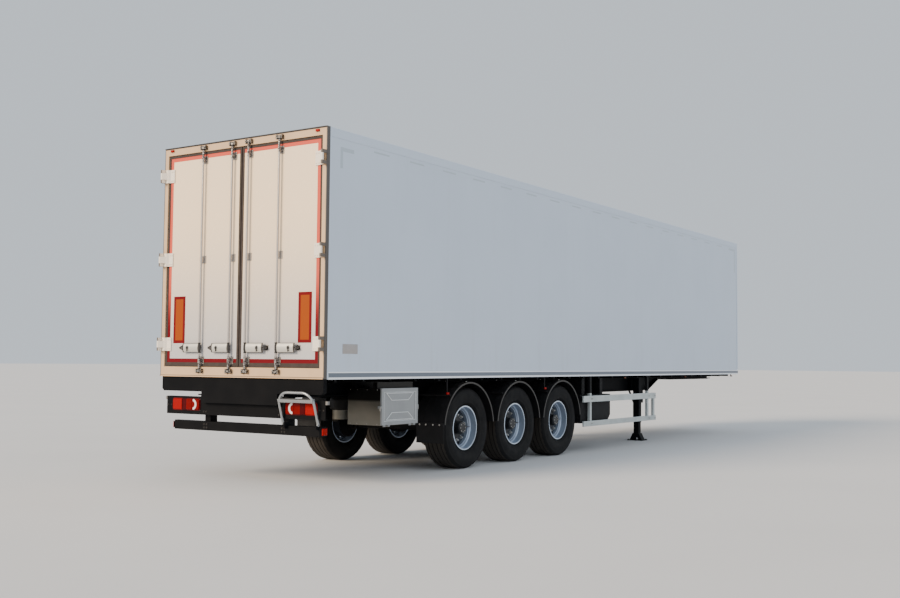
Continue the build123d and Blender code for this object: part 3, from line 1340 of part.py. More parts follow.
def toolbox():
    """Sheet-metal toolbox, open on its outer side, on two rails under the cross members."""
    x_range = (TOOLBOX_START, TOOLBOX_END)
    inner_y = -TOOLBOX_OUT + TOOLBOX_DEPTH
    wall = TOOLBOX_WALL
    shell = block(x_range, (-TOOLBOX_OUT, inner_y), (TOOLBOX_BOTTOM, TOOLBOX_TOP))
    room_x = (TOOLBOX_START + wall, TOOLBOX_END - wall)
    room_z = (TOOLBOX_BOTTOM + wall, TOOLBOX_TOP - wall)
    pieces = [shell - block(room_x, (-HALF_WIDTH, inner_y - wall), room_z)]
    for y in (-TOOLBOX_OUT + TOOLBOX_RAIL_INSET, inner_y - TOOLBOX_RAIL_INSET):
        pieces.append(block(x_range, about(y, TOOLBOX_RAIL_WIDTH), (TOOLBOX_TOP, CROSS_UNDERSIDE)))
    pieces += [toolbox_hinge(x) for x in toolbox_hinge_places()]
    strike_y = about(-TOOLBOX_OUT + LATCH_LENGTH, LATCH_HEIGHT)
    strike_z = about((TOOLBOX_BOTTOM + TOOLBOX_TOP) / 2, LATCH_HEIGHT)
    strike_x = (TOOLBOX_START - LATCH_HOOK, TOOLBOX_START)
    pieces.append(block(strike_x, strike_y, strike_z))
    strike_x = (TOOLBOX_END, TOOLBOX_END + LATCH_HOOK)
    pieces.append(block(strike_x, strike_y, strike_z))
    return joined(pieces)


def door_pressing(z_narrow, z_wide):
    """Raised trapezoid on the toolbox door, its wide edge at one height."""
    middle = (TOOLBOX_START + TOOLBOX_END) / 2
    front = -TOOLBOX_OUT - TOOLBOX_DOOR_GAP - TOOLBOX_DOOR_DEPTH
    face_low = front + TOOLBOX_RECESS
    outline = [
        (middle - PRESSING_WIDE, z_wide),
        (middle + PRESSING_WIDE, z_wide),
        (middle + PRESSING_NARROW, z_narrow),
        (middle - PRESSING_NARROW, z_narrow),
    ]
    pressing = prism_xz(outline, face_low - PRESSING_RISE, face_low + TOOLBOX_DOOR_SHEET)
    outer_face = pressing.faces().sort_by(Axis.Y)[0]
    return chamfer(outer_face.edges(), PRESSING_CHAMFER)


def toolbox_door():
    """Drop door of the toolbox, a folded sheet with a raised border and two pressings."""
    lap = TOOLBOX_DOOR_LAP
    sheet = TOOLBOX_DOOR_SHEET
    back = -TOOLBOX_OUT - TOOLBOX_DOOR_GAP
    front = back - TOOLBOX_DOOR_DEPTH
    x_range = (TOOLBOX_START - lap, TOOLBOX_END + lap)
    z_range = (TOOLBOX_BOTTOM + TOOLBOX_DOOR_RISE, TOOLBOX_TOP + lap)
    rim_x = (x_range[0] + sheet, x_range[1] - sheet)
    rim_z = (z_range[0] + sheet, z_range[1] - sheet)
    field_x = (x_range[0] + TOOLBOX_BORDER, x_range[1] - TOOLBOX_BORDER)
    field_z = (z_range[0] + TOOLBOX_BORDER, z_range[1] - TOOLBOX_BORDER)
    recess = front + TOOLBOX_RECESS
    door = block(x_range, (front, back), z_range)
    door = door - block(rim_x, (recess + sheet, 0), rim_z)
    door = door - block(field_x, (-BODY_WIDTH, recess), field_z)
    border = door.faces().sort_by(Axis.Y)[0].inner_wires()[0].edges()
    door = chamfer(border, PRESSING_CHAMFER)
    upper = z_range[1] - PRESSING_INSET
    lower = z_range[0] + PRESSING_INSET
    pieces = [door, door_pressing(upper - PRESSING_HEIGHT, upper)]
    pieces.append(door_pressing(lower + PRESSING_HEIGHT, lower))
    latch_y = (front, front + LATCH_LENGTH)
    latch_z = about((TOOLBOX_BOTTOM + TOOLBOX_TOP) / 2, LATCH_HEIGHT)
    pieces.append(block((x_range[0] - LATCH_THICKNESS, x_range[0]), latch_y, latch_z))
    pieces.append(block((x_range[1], x_range[1] + LATCH_THICKNESS), latch_y, latch_z))
    offset = TOOLBOX_EYE + TOOLBOX_EYE_GAP
    for x in toolbox_hinge_places():
        pieces += [toolbox_door_eye(x - offset), toolbox_door_eye(x + offset)]
    return joined(pieces)


def toolbox_door_eye(x):
    """Eye of a toolbox hinge on the door's lower edge."""
    y, z = TOOLBOX_HINGE_Y, TOOLBOX_HINGE_Z
    radius = TOOLBOX_HINGE_RADIUS
    eye_x = about(x, TOOLBOX_EYE)
    eye = rod_along_x(radius, y, z, *eye_x)
    tongue_z = (z, TOOLBOX_BOTTOM + TOOLBOX_DOOR_RISE + TOOLBOX_DOOR_SHEET)
    tongue = block(eye_x, (y - radius, y), tongue_z)
    return eye + tongue - rod_along_x(TOOLBOX_HINGE_PIN + PIN_FIT, y, z, *eye_x)


def lamp_bar():
    """Pressed lamp carrier across the rear, with an opening for each tail lamp."""
    sheet = LAMP_BAR_SHEET
    across = (-LAMP_BAR_REACH, LAMP_BAR_REACH)
    back = LAMP_BAR_X + LAMP_BAR_DEPTH
    outer = block((LAMP_BAR_X, back), across, (LAMP_BAR_BOTTOM, LAMP_BAR_TOP))
    hollow_x = (LAMP_BAR_X + sheet, 2 * back)
    hollow_z = (LAMP_BAR_BOTTOM + sheet, LAMP_BAR_TOP - sheet)
    bar = outer - block(hollow_x, (-HALF_WIDTH, HALF_WIDTH), hollow_z)
    window_y = (-LAMP_OUTER - LAMP_FIT, -LAMP_INNER + LAMP_FIT)
    window_z = (LAMP_BOTTOM - LAMP_FIT, LAMP_TOP + LAMP_FIT)
    window = block((0, back), window_y, window_z)
    bar = bar - window - other_side(window)
    hanger_z = (LAMP_BAR_BOTTOM + sheet, BEAM_REAR_Z)
    carrier = block((LAMP_BAR_X + sheet, back), about(-BEAM_Y, LAMP_BAR_HANGER), hanger_z)
    return joined([bar, carrier, other_side(carrier)])


def tail_lamp():
    """Right-hand tail lamp: body through the carrier, flange on it and a ribbed lens."""
    flange_x = LAMP_BAR_X - LAMP_FLANGE_DEPTH
    lens_x = flange_x - LAMP_LENS_DEPTH
    y_range = (-LAMP_OUTER, -LAMP_INNER)
    z_range = (LAMP_BOTTOM, LAMP_TOP)
    flange_y = (-LAMP_OUTER - LAMP_FLANGE, -LAMP_INNER + LAMP_FLANGE)
    flange_z = (LAMP_BOTTOM - LAMP_FLANGE, LAMP_TOP + LAMP_FLANGE)
    body = block((LAMP_BAR_X, LAMP_BAR_X + LAMP_BODY_DEPTH), y_range, z_range)
    flange = rounded(block((flange_x, LAMP_BAR_X), flange_y, flange_z), Axis.X, LAMP_CORNER)
    lens = rounded(block((lens_x, flange_x), y_range, z_range), Axis.X, LAMP_CORNER)
    lens_front = lens.faces().sort_by(Axis.X)[0]
    lens = fillet(lens_front.edges(), LAMP_LENS_EDGE)
    for share in LAMP_SECTION_PLACES:
        groove_y = about(-LAMP_OUTER + share * (LAMP_OUTER - LAMP_INNER), LAMP_GROOVE)
        lens = lens - block((0, lens_x + LAMP_GROOVE), groove_y, flange_z)
    return joined([body, flange, lens])


def underrun_bar():
    """Underrun bar on two arms from the main beams, with the lugs of the folding step."""
    front, back = UNDERRUN_X, UNDERRUN_X + UNDERRUN_DEPTH
    reach = UNDERRUN_REACH
    cut = UNDERRUN_END_CHAMFER
    bar = block((front, back), (-reach, reach), (UNDERRUN_BOTTOM, UNDERRUN_TOP))
    bar = rounded(bar, Axis.Y, UNDERRUN_RADIUS)
    outline = [
        (back, -reach),
        (back, reach),
        (front + cut, reach),
        (front, reach - cut),
        (front, -reach + cut),
        (front + cut, -reach),
    ]
    bar = bar & prism_xy(outline, UNDERRUN_BOTTOM, UNDERRUN_TOP)
    arm_start = LAMP_BAR_X + LAMP_BAR_DEPTH
    arm_x = (arm_start, arm_start + UNDERRUN_ARM_DEPTH)
    arm_z = (UNDERRUN_TOP - UNDERRUN_ARM_BITE, BEAM_REAR_Z)
    arm = block(arm_x, about(-UNDERRUN_ARM_Y, UNDERRUN_ARM_WIDTH), arm_z)
    pieces = [bar, arm, other_side(arm)]
    pieces.append(step_lug(-STEP_INNER, 1))
    pieces.append(step_lug(-STEP_OUTER, -1))
    return joined(pieces)


def step_lug(leg_y, outward):
    """Lug beside one leg of the folding step, with the pin the leg turns on."""
    lug_y = leg_y - outward * STEP_LUG_INSET
    lug_range = about(lug_y, STEP_LUG)
    back = UNDERRUN_X + UNDERRUN_ARM_BITE
    radius = STEP_LUG_RADIUS
    web_z = (UNDERRUN_TOP - 2 * radius, STEP_PIVOT_Z)
    web = block((STEP_PIVOT_X - radius, back), lug_range, web_z)
    heel = block((STEP_PIVOT_X, back), lug_range, (STEP_PIVOT_Z, STEP_PIVOT_Z + radius))
    boss = rod_along_y(radius, STEP_PIVOT_X, STEP_PIVOT_Z, *lug_range)
    pin_ends = sorted((lug_y, leg_y + outward * STEP_PIN_REACH))
    pin = rod_along_y(STEP_PIN, STEP_PIVOT_X, STEP_PIVOT_Z, *pin_ends)
    return joined([web, heel, boss, pin])


def folding_step():
    """Tubular folding step, stowed upright in front of the right-hand tail lamp."""
    length = math.hypot(STEP_LEAN, STEP_RISE)
    lean = math.degrees(math.atan2(STEP_LEAN, STEP_RISE))
    path = FilletPolyline(
        (0, -STEP_INNER, 0),
        (0, -STEP_INNER, length),
        (0, -STEP_OUTER, length),
        (0, -STEP_OUTER, 0),
        radius=STEP_CORNER,
    )
    start = Plane(origin=(0, -STEP_INNER, 0), z_dir=(0, 0, 1))
    arch = sweep(start * Circle(STEP_TUBE), path=path)
    tread_z = about(STEP_TREAD_RISE, STEP_TREAD_THICKNESS)
    arch = arch + block(about(0, STEP_TREAD_DEPTH), (-STEP_OUTER, -STEP_INNER), tread_z)
    for y in (-STEP_INNER, -STEP_OUTER):
        arch = arch + rod_along_y(STEP_TUBE + STEP_EYE_SHOULDER, 0, 0, *about(y, STEP_EYE))
        arch = arch - rod_along_y(STEP_PIN + PIN_FIT, 0, 0, *about(y, 4 * STEP_EYE))
    return Pos(STEP_PIVOT_X, 0, STEP_PIVOT_Z) * Rot(0, -lean, 0) * arch


def side_marker(x, drop):
    """Right-hand side marker lamp on a stem from the base rail, its middle below the floor."""
    depth, length, height = (2 * half for half in MARKER_HALF)
    z = FLOOR_UNDERSIDE - drop
    back_y = -HALF_WIDTH + depth
    lamp = block(about(x, length), (-HALF_WIDTH, back_y), about(z, height))
    lamp = fillet(lamp.faces().sort_by(Axis.Y)[0].edges(), MARKER_EDGE)
    stem_y = (back_y, back_y + MARKER_STEM_DEPTH)
    stem = block(about(x, MARKER_STEM), stem_y, (z - height / 2, RAIL_BOTTOM))
    return lamp + stem


def top_marker():
    """Right-hand marker lamp on the door frame's header."""
    depth, length, height = (2 * half for half in MARKER_HALF)
    y_range = about(-HALF_WIDTH + TOP_MARKER_INSET, length)
    lamp = block((-depth, 0), y_range, about(BODY_TOP - TOP_MARKER_DROP, height))
    return fillet(lamp.faces().sort_by(Axis.X)[0].edges(), MARKER_EDGE)


def end_lamps():
    """Lamps on the right-hand ends of the underrun bar and the lamp carrier."""
    low_x = about(UNDERRUN_X + UNDERRUN_DEPTH / 2, END_LAMP_WIDTH)
    low_z = about((UNDERRUN_BOTTOM + UNDERRUN_TOP) / 2, END_LAMP_HEIGHT)
    low = block(low_x, (-UNDERRUN_REACH - END_LAMP_LENGTH, -UNDERRUN_REACH), low_z)
    low = fillet(low.faces().sort_by(Axis.Y)[0].edges(), 2 * MARKER_EDGE)
    high_top = LAMP_BAR_TOP - BAR_LAMP_DROP
    high_x = (LAMP_BAR_X, LAMP_BAR_X + BAR_LAMP_SIZE)
    high_y = (-LAMP_BAR_REACH - BAR_LAMP_LENGTH, -LAMP_BAR_REACH)
    high = block(high_x, high_y, (high_top - BAR_LAMP_SIZE, high_top))
    high = fillet(high.faces().sort_by(Axis.Y)[0].edges(), 2 * MARKER_EDGE)
    return [low, high]


def marker_lamps():
    """Small lamps: on the door frame, along both sides and at the ends of the rear bars."""
    pieces = [top_marker()]
    pieces += [side_marker(x, drop) for x, drop in REAR_MARKERS]
    pieces += [side_marker(BODY_LENGTH - setback, drop) for setback, drop in FRONT_MARKERS]
    pieces += end_lamps()
    return pieces + [other_side(piece) for piece in pieces]


def export_body():
    """Write the load space, the door frame and the chassis."""
    wall = side_wall()
    export_node("side_walls", wall, other_side(wall))
    export_node("front_wall", front_wall())
    export_node("roof_panel", roof_panel())
    export_node("floor_panel", floor_panel())
    export_node("edge_profiles", edge_trims(), base_rails())
    export_node("rear_portal", rear_portal())
    export_node("portal_fittings", *portal_fittings())
    beams = [main_beam(), neck_beam()]
    export_node("main_beams", *beams, *[other_side(beam) for beam in beams])
    export_node("cross_members", rear_beam(), *[cross_member(x) for x in cross_positions()])
    export_node("coupling_plate", coupling_plate())
    export_node("coupling_panel", coupling_panel())


def export_doors():
    """Write the pieces of both rear doors."""
    door_pieces = {
        "door_leaf": [door_leaf()],
        "door_seal": [door_seal()],
        "door_hardware": door_hardware(),
        "marker_board": [marker_board()],
    }
    for name, pieces in door_pieces.items():
        export_node(f"{name}_right", *pieces)
        export_node(f"{name}_left", *[other_side(piece) for piece in pieces])


def export_running_gear():
    """Write the axles with their suspension and mudguards, and the wheels."""
    sides = {"suspension_arms": [], "air_springs": [], "mudguards": []}
    for index, x in enumerate(axle_positions()):
        guard = mudguard(x) + mudflap() if index == 0 else mudguard(x)
        sides["suspension_arms"].append(suspension_arm(x))
        sides["air_springs"].append(air_spring(x))
        sides["mudguards"].append(guard)
    export_node("axles", *[axle_beam(x) for x in axle_positions()])
    for name, pieces in sides.items():
        export_node(name, *pieces, *[other_side(piece) for piece in pieces])
    rim = wheel_rim()
    tyre_ring = tyre()
    for index, x in enumerate(axle_positions(), start=1):
        place = Pos(x, -WHEEL_Y, TYRE_RADIUS)
        for name, piece in (("rim", place * rim), ("tyre", place * tyre_ring)):
            export_node(f"wheel_{index}_right_{name}", piece)
            export_node(f"wheel_{index}_left_{name}", other_side(piece))


def export_equipment():
    """Write the guards, legs, boxes, lamps and bars."""
    guard = side_guard()
    export_node("side_guards", guard, other_side(guard))
    export_node("landing_legs", landing_legs())
    export_node("air_tanks", air_tank(-TANK_Y), air_tank(TANK_Y))
    export_node("stowage_box", stowage_box())
    export_node("toolbox", toolbox())
    export_node("toolbox_door", toolbox_door())
    export_node("lamp_bar", lamp_bar())
    lamp = tail_lamp()
    export_node("lamps", lamp, other_side(lamp), *marker_lamps())
    export_node("underrun_bar", underrun_bar())
    export_node("folding_step", folding_step())


def main():
    """Write every node of the trailer."""
    os.makedirs("parts", exist_ok=True)
    export_body()
    export_doors()
    export_running_gear()
    export_equipment()


if __name__ == "__main__":
    main()
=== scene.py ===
"""Looks of a box-body semi-trailer: finishes, fittings, tyres, lamps and studio."""

import logging
import math
from dataclasses import dataclass
from enum import Enum
from itertools import product
from typing import Iterable, Sequence, Union

import bmesh
import bpy
from mathutils import Matrix, Vector

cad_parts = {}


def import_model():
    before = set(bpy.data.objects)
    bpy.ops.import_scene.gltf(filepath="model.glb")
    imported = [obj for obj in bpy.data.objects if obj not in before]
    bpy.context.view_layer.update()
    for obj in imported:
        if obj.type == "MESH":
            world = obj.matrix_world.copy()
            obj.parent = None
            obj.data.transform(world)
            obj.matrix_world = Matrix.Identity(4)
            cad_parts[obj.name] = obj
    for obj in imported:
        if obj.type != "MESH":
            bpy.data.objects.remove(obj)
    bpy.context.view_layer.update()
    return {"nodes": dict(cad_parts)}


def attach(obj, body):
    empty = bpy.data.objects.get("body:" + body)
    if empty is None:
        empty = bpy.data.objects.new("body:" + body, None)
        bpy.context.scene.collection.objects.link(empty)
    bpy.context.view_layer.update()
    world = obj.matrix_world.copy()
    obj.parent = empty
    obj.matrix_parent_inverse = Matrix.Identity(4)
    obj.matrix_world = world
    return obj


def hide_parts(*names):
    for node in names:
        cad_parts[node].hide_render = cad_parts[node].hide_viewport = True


LOG = logging.getLogger("trailer")

# A span is two ends of a range, a pair two places or two coordinates. Rings are shares of a
# length, each with its radius.
Colour = tuple[float, float, float]
Point = tuple[float, float, float]
Span = tuple[float, float]
Pair = tuple[float, float]
Rings = Sequence[Pair]
Number = Union[float, "Sock"]

# Metres in the part's frame: X forward, Y to the left, Z up from the ground.
REAR_FACE = -6.791
AXLES = (-3.741, -2.431, -1.121)
WHEEL_HEIGHT = 0.5355
WHEEL_PLANE = 1.020
ROD_PLACES = (0.610, 0.130)
HINGE_HEIGHTS = (1.592, 2.621, 3.650)
WALL_COLOUR = (0.58, 0.665, 0.775)

# Ways that bolt heads and rivets point to.
FRONT = (1.0, 0.0, 0.0)
BACK = (-1.0, 0.0, 0.0)
LEFT = (0.0, 1.0, 0.0)
RIGHT = (0.0, -1.0, 0.0)
UP = (0.0, 0.0, 1.0)
DOWN = (0.0, 0.0, -1.0)


class Body(Enum):
    """The moving bodies that pieces ride on."""

    TRAILER = "root"
    DOOR_RIGHT = "door_right"
    DOOR_LEFT = "door_left"
    TOOLBOX_DOOR = "toolbox_door"
    STEP = "folding_step"


class Side(Enum):
    """Side of the trailer, with the sign of its Y."""

    RIGHT = -1
    LEFT = 1

    @property
    def door(self) -> Body:
        """Door body of this side."""
        return Body.DOOR_RIGHT if self is Side.RIGHT else Body.DOOR_LEFT

    @property
    def word(self) -> str:
        """Name of this side, as used in node names."""
        return self.name.lower()


class Look(Enum):
    """The finishes, each by what wears it."""

    WALL = "wall"
    ROOF = "roof"
    DOOR = "door"
    DECK = "deck"
    FRAME = "frame"
    EDGE = "edge"
    SEAL = "seal"
    ROD = "rod"
    FITTING = "fitting"
    BOARD = "board"
    CHASSIS = "chassis"
    AXLE = "axle"
    BELLOWS = "bellows"
    GUARD = "guard"
    STOWAGE = "stowage"
    PANEL = "panel"
    RAIL = "rail"
    STAINLESS = "stainless"
    BOX_DOOR = "box_door"
    RIDGE_HIGHLIGHT = "ridge_highlight"
    LAMP = "lamp"
    ZINC = "zinc"
    RIM = "rim"
    TYRE = "tyre"
    TAPE_RED = "tape_red"
    TAPE_WHITE = "tape_white"
    PLATE = "plate"
    BOLT = "bolt"
    DARK_BOLT = "dark_bolt"
    RED_CAP = "red_cap"
    YELLOW_CAP = "yellow_cap"


NODE_LOOKS = {
    "side_walls": Look.WALL,
    "front_wall": Look.WALL,
    "roof_panel": Look.ROOF,
    "floor_panel": Look.DECK,
    "edge_profiles": Look.EDGE,
    "rear_portal": Look.FRAME,
    "portal_fittings": Look.FITTING,
    "main_beams": Look.CHASSIS,
    "cross_members": Look.CHASSIS,
    "coupling_plate": Look.CHASSIS,
    "coupling_panel": Look.PANEL,
    "axles": Look.AXLE,
    "suspension_arms": Look.AXLE,
    "air_springs": Look.BELLOWS,
    "mudguards": Look.GUARD,
    "side_guards": Look.RAIL,
    "landing_legs": Look.CHASSIS,
    "air_tanks": Look.AXLE,
    "stowage_box": Look.STOWAGE,
    "toolbox": Look.STAINLESS,
    "toolbox_door": Look.BOX_DOOR,
    "lamp_bar": Look.CHASSIS,
    "lamps": Look.LAMP,
    "underrun_bar": Look.CHASSIS,
    "folding_step": Look.ZINC,
    "door_leaf": Look.DOOR,
    "door_seal": Look.SEAL,
    "door_hardware": Look.ROD,
    "marker_board": Look.BOARD,
}


class Sock:
    """A shader socket that takes part in arithmetic."""

    def __init__(self, surface: "Surface", socket: bpy.types.NodeSocket) -> None:
        """Keep the socket and the surface it belongs to."""
        self.surface = surface
        self.socket = socket

    def math(self, operation: str, left: Number, right: Number = 0.0) -> "Sock":
        """Add a Math node.

        Args:
            operation: The node's operation.
            left: First operand.
            right: Second operand.

        Returns:
            The node's result.
        """
        made = self.surface.node("ShaderNodeMath", {"operation": operation}, {0: left, 1: right})
        return Sock(self.surface, made.outputs[0])

    def __add__(self, other: Number) -> "Sock":
        """Sum."""
        return self.math("ADD", self, other)

    __radd__ = __add__

    def __sub__(self, other: Number) -> "Sock":
        """Difference."""
        return self.math("SUBTRACT", self, other)

    def __rsub__(self, other: Number) -> "Sock":
        """Difference, this socket taken away."""
        return self.math("SUBTRACT", other, self)

    def __mul__(self, other: Number) -> "Sock":
        """Product."""
        return self.math("MULTIPLY", self, other)

    __rmul__ = __mul__

    def __truediv__(self, other: Number) -> "Sock":
        """Quotient."""
        return self.math("DIVIDE", self, other)

    def __mod__(self, other: Number) -> "Sock":
        """Remainder, never below zero."""
        return self.math("FLOORED_MODULO", self, other)

    def __pow__(self, other: Number) -> "Sock":
        """Power."""
        return self.math("POWER", self, other)

    def __abs__(self) -> "Sock":
        """Size without its sign."""
        return self.math("ABSOLUTE", self)

    def clamp(self) -> "Sock":
        """The value held between 0 and 1."""
        made = self.surface.node("ShaderNodeClamp", {}, {0: self})
        return Sock(self.surface, made.outputs[0])

    def step(self, low: float, high: float) -> "Sock":
        """Smooth rise between two values.

        Args:
            low: Where the result is 0.
            high: Where the result is 1.

        Returns:
            A value from 0 to 1.
        """
        made = self.surface.node(
            "ShaderNodeMapRange",
            {"interpolation_type": "SMOOTHSTEP"},
            {"Value": self, "From Min": low, "From Max": high},
        )
        return Sock(self.surface, made.outputs[0])

    def band(self, low: float, high: float, edge: float = 0.001) -> "Sock":
        """Mask of a range of values.

        Args:
            low: Lower end of the range.
            high: Upper end of the range.
            edge: Half width of the soft border.

        Returns:
            1 inside the range and 0 outside it.
        """
        return self.step(low - edge, low + edge) * (1 - self.step(high - edge, high + edge))

    def zigzag(self, pitch: float) -> "Sock":
        """Wave of straight slopes.

        Args:
            pitch: Length of one wave.

        Returns:
            A value that goes from 1 to 0 and back.
        """
        return abs((self % pitch) / (pitch / 2) - 1)


class Surface:
    """A material's node tree, with the few kinds of node that the finishes use."""

    cell_randomness = 0.1

    def __init__(self, name: str) -> None:
        """Make an empty material.

        Args:
            name: Name of the material.
        """
        self.material = bpy.data.materials.new(name)
        self.material.use_nodes = True
        self.tree = self.material.node_tree
        self.shader = self.tree.nodes["Principled BSDF"]

    def feed(self, socket: bpy.types.NodeSocket, value: object) -> None:
        """Link or set an input.

        Args:
            socket: The input.
            value: A Sock to link, or a constant to set.
        """
        if isinstance(value, Sock):
            self.tree.links.new(value.socket, socket)
        elif socket.type == "RGBA":
            socket.default_value = (*value, 1.0)
        else:
            socket.default_value = value

    def node(self, kind: str, settings: dict, inputs: dict) -> bpy.types.Node:
        """Add a node.

        Args:
            kind: The node's type.
            settings: Attributes to set first.
            inputs: Values or links, by the sockets' names or numbers.

        Returns:
            The node.
        """
        made = self.tree.nodes.new(kind)
        for key, value in settings.items():
            setattr(made, key, value)
        for key, value in inputs.items():
            self.feed(made.inputs[key], value)
        return made

    def coordinates(self) -> Sock:
        """Place on the object, in metres."""
        return Sock(self, self.node("ShaderNodeTexCoord", {}, {}).outputs["Object"])

    def place(self) -> tuple[Sock, Sock, Sock]:
        """X, Y and Z of the place on the object."""
        made = self.node("ShaderNodeSeparateXYZ", {}, {0: self.coordinates()})
        return tuple(Sock(self, output) for output in made.outputs)

    def noise(self, scale: float, detail: float = 4.0, stretch: Point = (1, 1, 1)) -> Sock:
        """Cloudy pattern.

        Args:
            scale: Number of features in a metre.
            detail: Octaves of finer detail.
            stretch: Factors along X, Y and Z; a small one draws the pattern out.

        Returns:
            A value around a half.
        """
        scaled = self.node(
            "ShaderNodeVectorMath", {"operation": "MULTIPLY"}, {0: self.coordinates(), 1: stretch}
        )
        made = self.node(
            "ShaderNodeTexNoise",
            {},
            {"Vector": Sock(self, scaled.outputs[0]), "Scale": scale, "Detail": detail},
        )
        return Sock(self, made.outputs[0])

    def cells(self, scale: float) -> Sock:
        """Pattern of nearly regular cells.

        Args:
            scale: Number of cells in a metre.

        Returns:
            Distance to the middle of the nearest cell.
        """
        made = self.node(
            "ShaderNodeTexVoronoi",
            {},
            {"Vector": self.coordinates(), "Scale": scale, "Randomness": self.cell_randomness},
        )
        return Sock(self, made.outputs["Distance"])

    def blend(self, factor: Number, first: object, second: object) -> Sock:
        """Mix two colours.

        Args:
            factor: Share of the second colour.
            first: Colour at 0.
            second: Colour at 1.

        Returns:
            The mixed colour.
        """
        made = self.node("ShaderNodeMix", {"data_type": "RGBA"}, {0: factor, 6: first, 7: second})
        return Sock(self, made.outputs[2])

    def bump(self, height: Number, distance: float) -> Sock:
        """Normal tilted by a height.

        Args:
            height: Relief from 0 to 1.
            distance: Metres that a height of 1 stands for.

        Returns:
            The normal.
        """
        made = self.node("ShaderNodeBump", {}, {"Height": height, "Distance": distance})
        return Sock(self, made.outputs[0])

    def dress(self, inputs: dict) -> bpy.types.Material:
        """Feed the shader and give the material.

        Args:
            inputs: Values or links, by the shader's socket names.

        Returns:
            The finished material.
        """
        for key, value in inputs.items():
            self.feed(self.shader.inputs[key], value)
        return self.material


@dataclass(frozen=True)
class Finish:
    """Weathered surface: a colour with patches, a grain, and dust that thins out upwards."""

    name: str
    colour: Colour
    patch: Colour
    patch_scale: float = 3.0
    patch_share: float = 0.5
    roughness: float = 0.4
    swing: float = 0.15
    patch_span: Span = (0.35, 0.75)
    fine_factor: float = 9.0
    metallic: float = 0.0
    coat: float = 0.0
    specular: float = 0.5
    grain_scale: float = 400.0
    grain_detail: float = 2.0
    grain_height: float = 0.0001
    dust: Colour = (0.10, 0.09, 0.08)
    dust_share: float = 0.0
    dust_top: float = 1.2
    dust_roughness: float = 0.35

    def base(self, surface: Surface, cloud: Sock) -> Sock:
        """Colour before the dust.

        Args:
            surface: The material being made.
            cloud: Broad cloudy pattern.

        Returns:
            The colour.
        """
        return surface.blend(cloud.step(*self.patch_span) * self.patch_share, self.colour, self.patch)

    def relief(self, surface: Surface) -> Sock:
        """Height of the fine surface, from 0 to 1."""
        return surface.noise(self.grain_scale, self.grain_detail)

    def metal(self, surface: Surface) -> Number:
        """Share of bare metal."""
        return self.metallic

    def make(self) -> bpy.types.Material:
        """Build the material.

        Returns:
            The material.
        """
        surface = Surface(self.name)
        height = surface.place()[2]
        cloud = surface.noise(self.patch_scale)
        fine = surface.noise(self.patch_scale * self.fine_factor)
        colour = self.base(surface, cloud)
        worn = self.roughness + (fine - 0.5) * self.swing
        if self.dust_share:
            low = 1 - height.step(0.0, self.dust_top)
            dirt = (low * (cloud + fine) * self.dust_share).clamp()
            colour = surface.blend(dirt, colour, self.dust)
            worn = worn + dirt * self.dust_roughness
        return surface.dress({
            "Base Color": colour,
            "Roughness": worn.clamp(),
            "Metallic": self.metal(surface),
            "Coat Weight": self.coat,
            "Specular IOR Level": self.specular,
            "Normal": surface.bump(self.relief(surface), self.grain_height),
        })


@dataclass(frozen=True)
class WallPaint(Finish):
    """Smooth panel skin with faint rain streaks that are strongest along its foot."""

    patch_span: Span = (0.35, 0.7)
    streak: Colour = (0.42, 0.42, 0.42)
    streak_share: float = 0.3
    streak_scale: float = 9.0
    streak_detail: float = 5.0
    streak_stretch: Point = (1.0, 1.0, 0.06)
    streak_span: Span = (0.52, 0.8)
    foot: float = 1.28
    foot_reach: float = 0.8
    foot_share: float = 0.7

    def base(self, surface: Surface, cloud: Sock) -> Sock:
        """Skin colour with streaks.

        Args:
            surface: The material being made.
            cloud: Broad cloudy pattern.

        Returns:
            The colour.
        """
        height = surface.place()[2]
        rain = surface.noise(self.streak_scale, self.streak_detail, self.streak_stretch)
        low = 1 - height.step(self.foot, self.foot + self.foot_reach)
        share = low * self.foot_share + (1 - self.foot_share)
        mask = rain.step(*self.streak_span) * share * self.streak_share
        return surface.blend(mask.clamp(), super().base(surface, cloud), self.streak)


@dataclass(frozen=True)
class DoorPaint(WallPaint):
    """Door skin that turns creamier towards its top, a painted sunlight that leaves the lower door in
    painted shade.
    """

    painted_sun: Colour = (1.0, 0.79, 0.54)
    painted_sun_span: Span = (1.2, 3.2)
    painted_sun_share: float = 0.97

    def base(self, surface: Surface, cloud: Sock) -> Sock:
        """Door colour by height, with painted sunlight rising towards the top.

        Args:
            surface: The material being made.
            cloud: Broad cloudy pattern.

        Returns:
            The colour.
        """
        # Painted sunlight: the door turns creamier towards its top.
        rise = surface.place()[2].step(*self.painted_sun_span)
        return surface.blend(rise * self.painted_sun_share, super().base(surface, cloud), self.painted_sun)


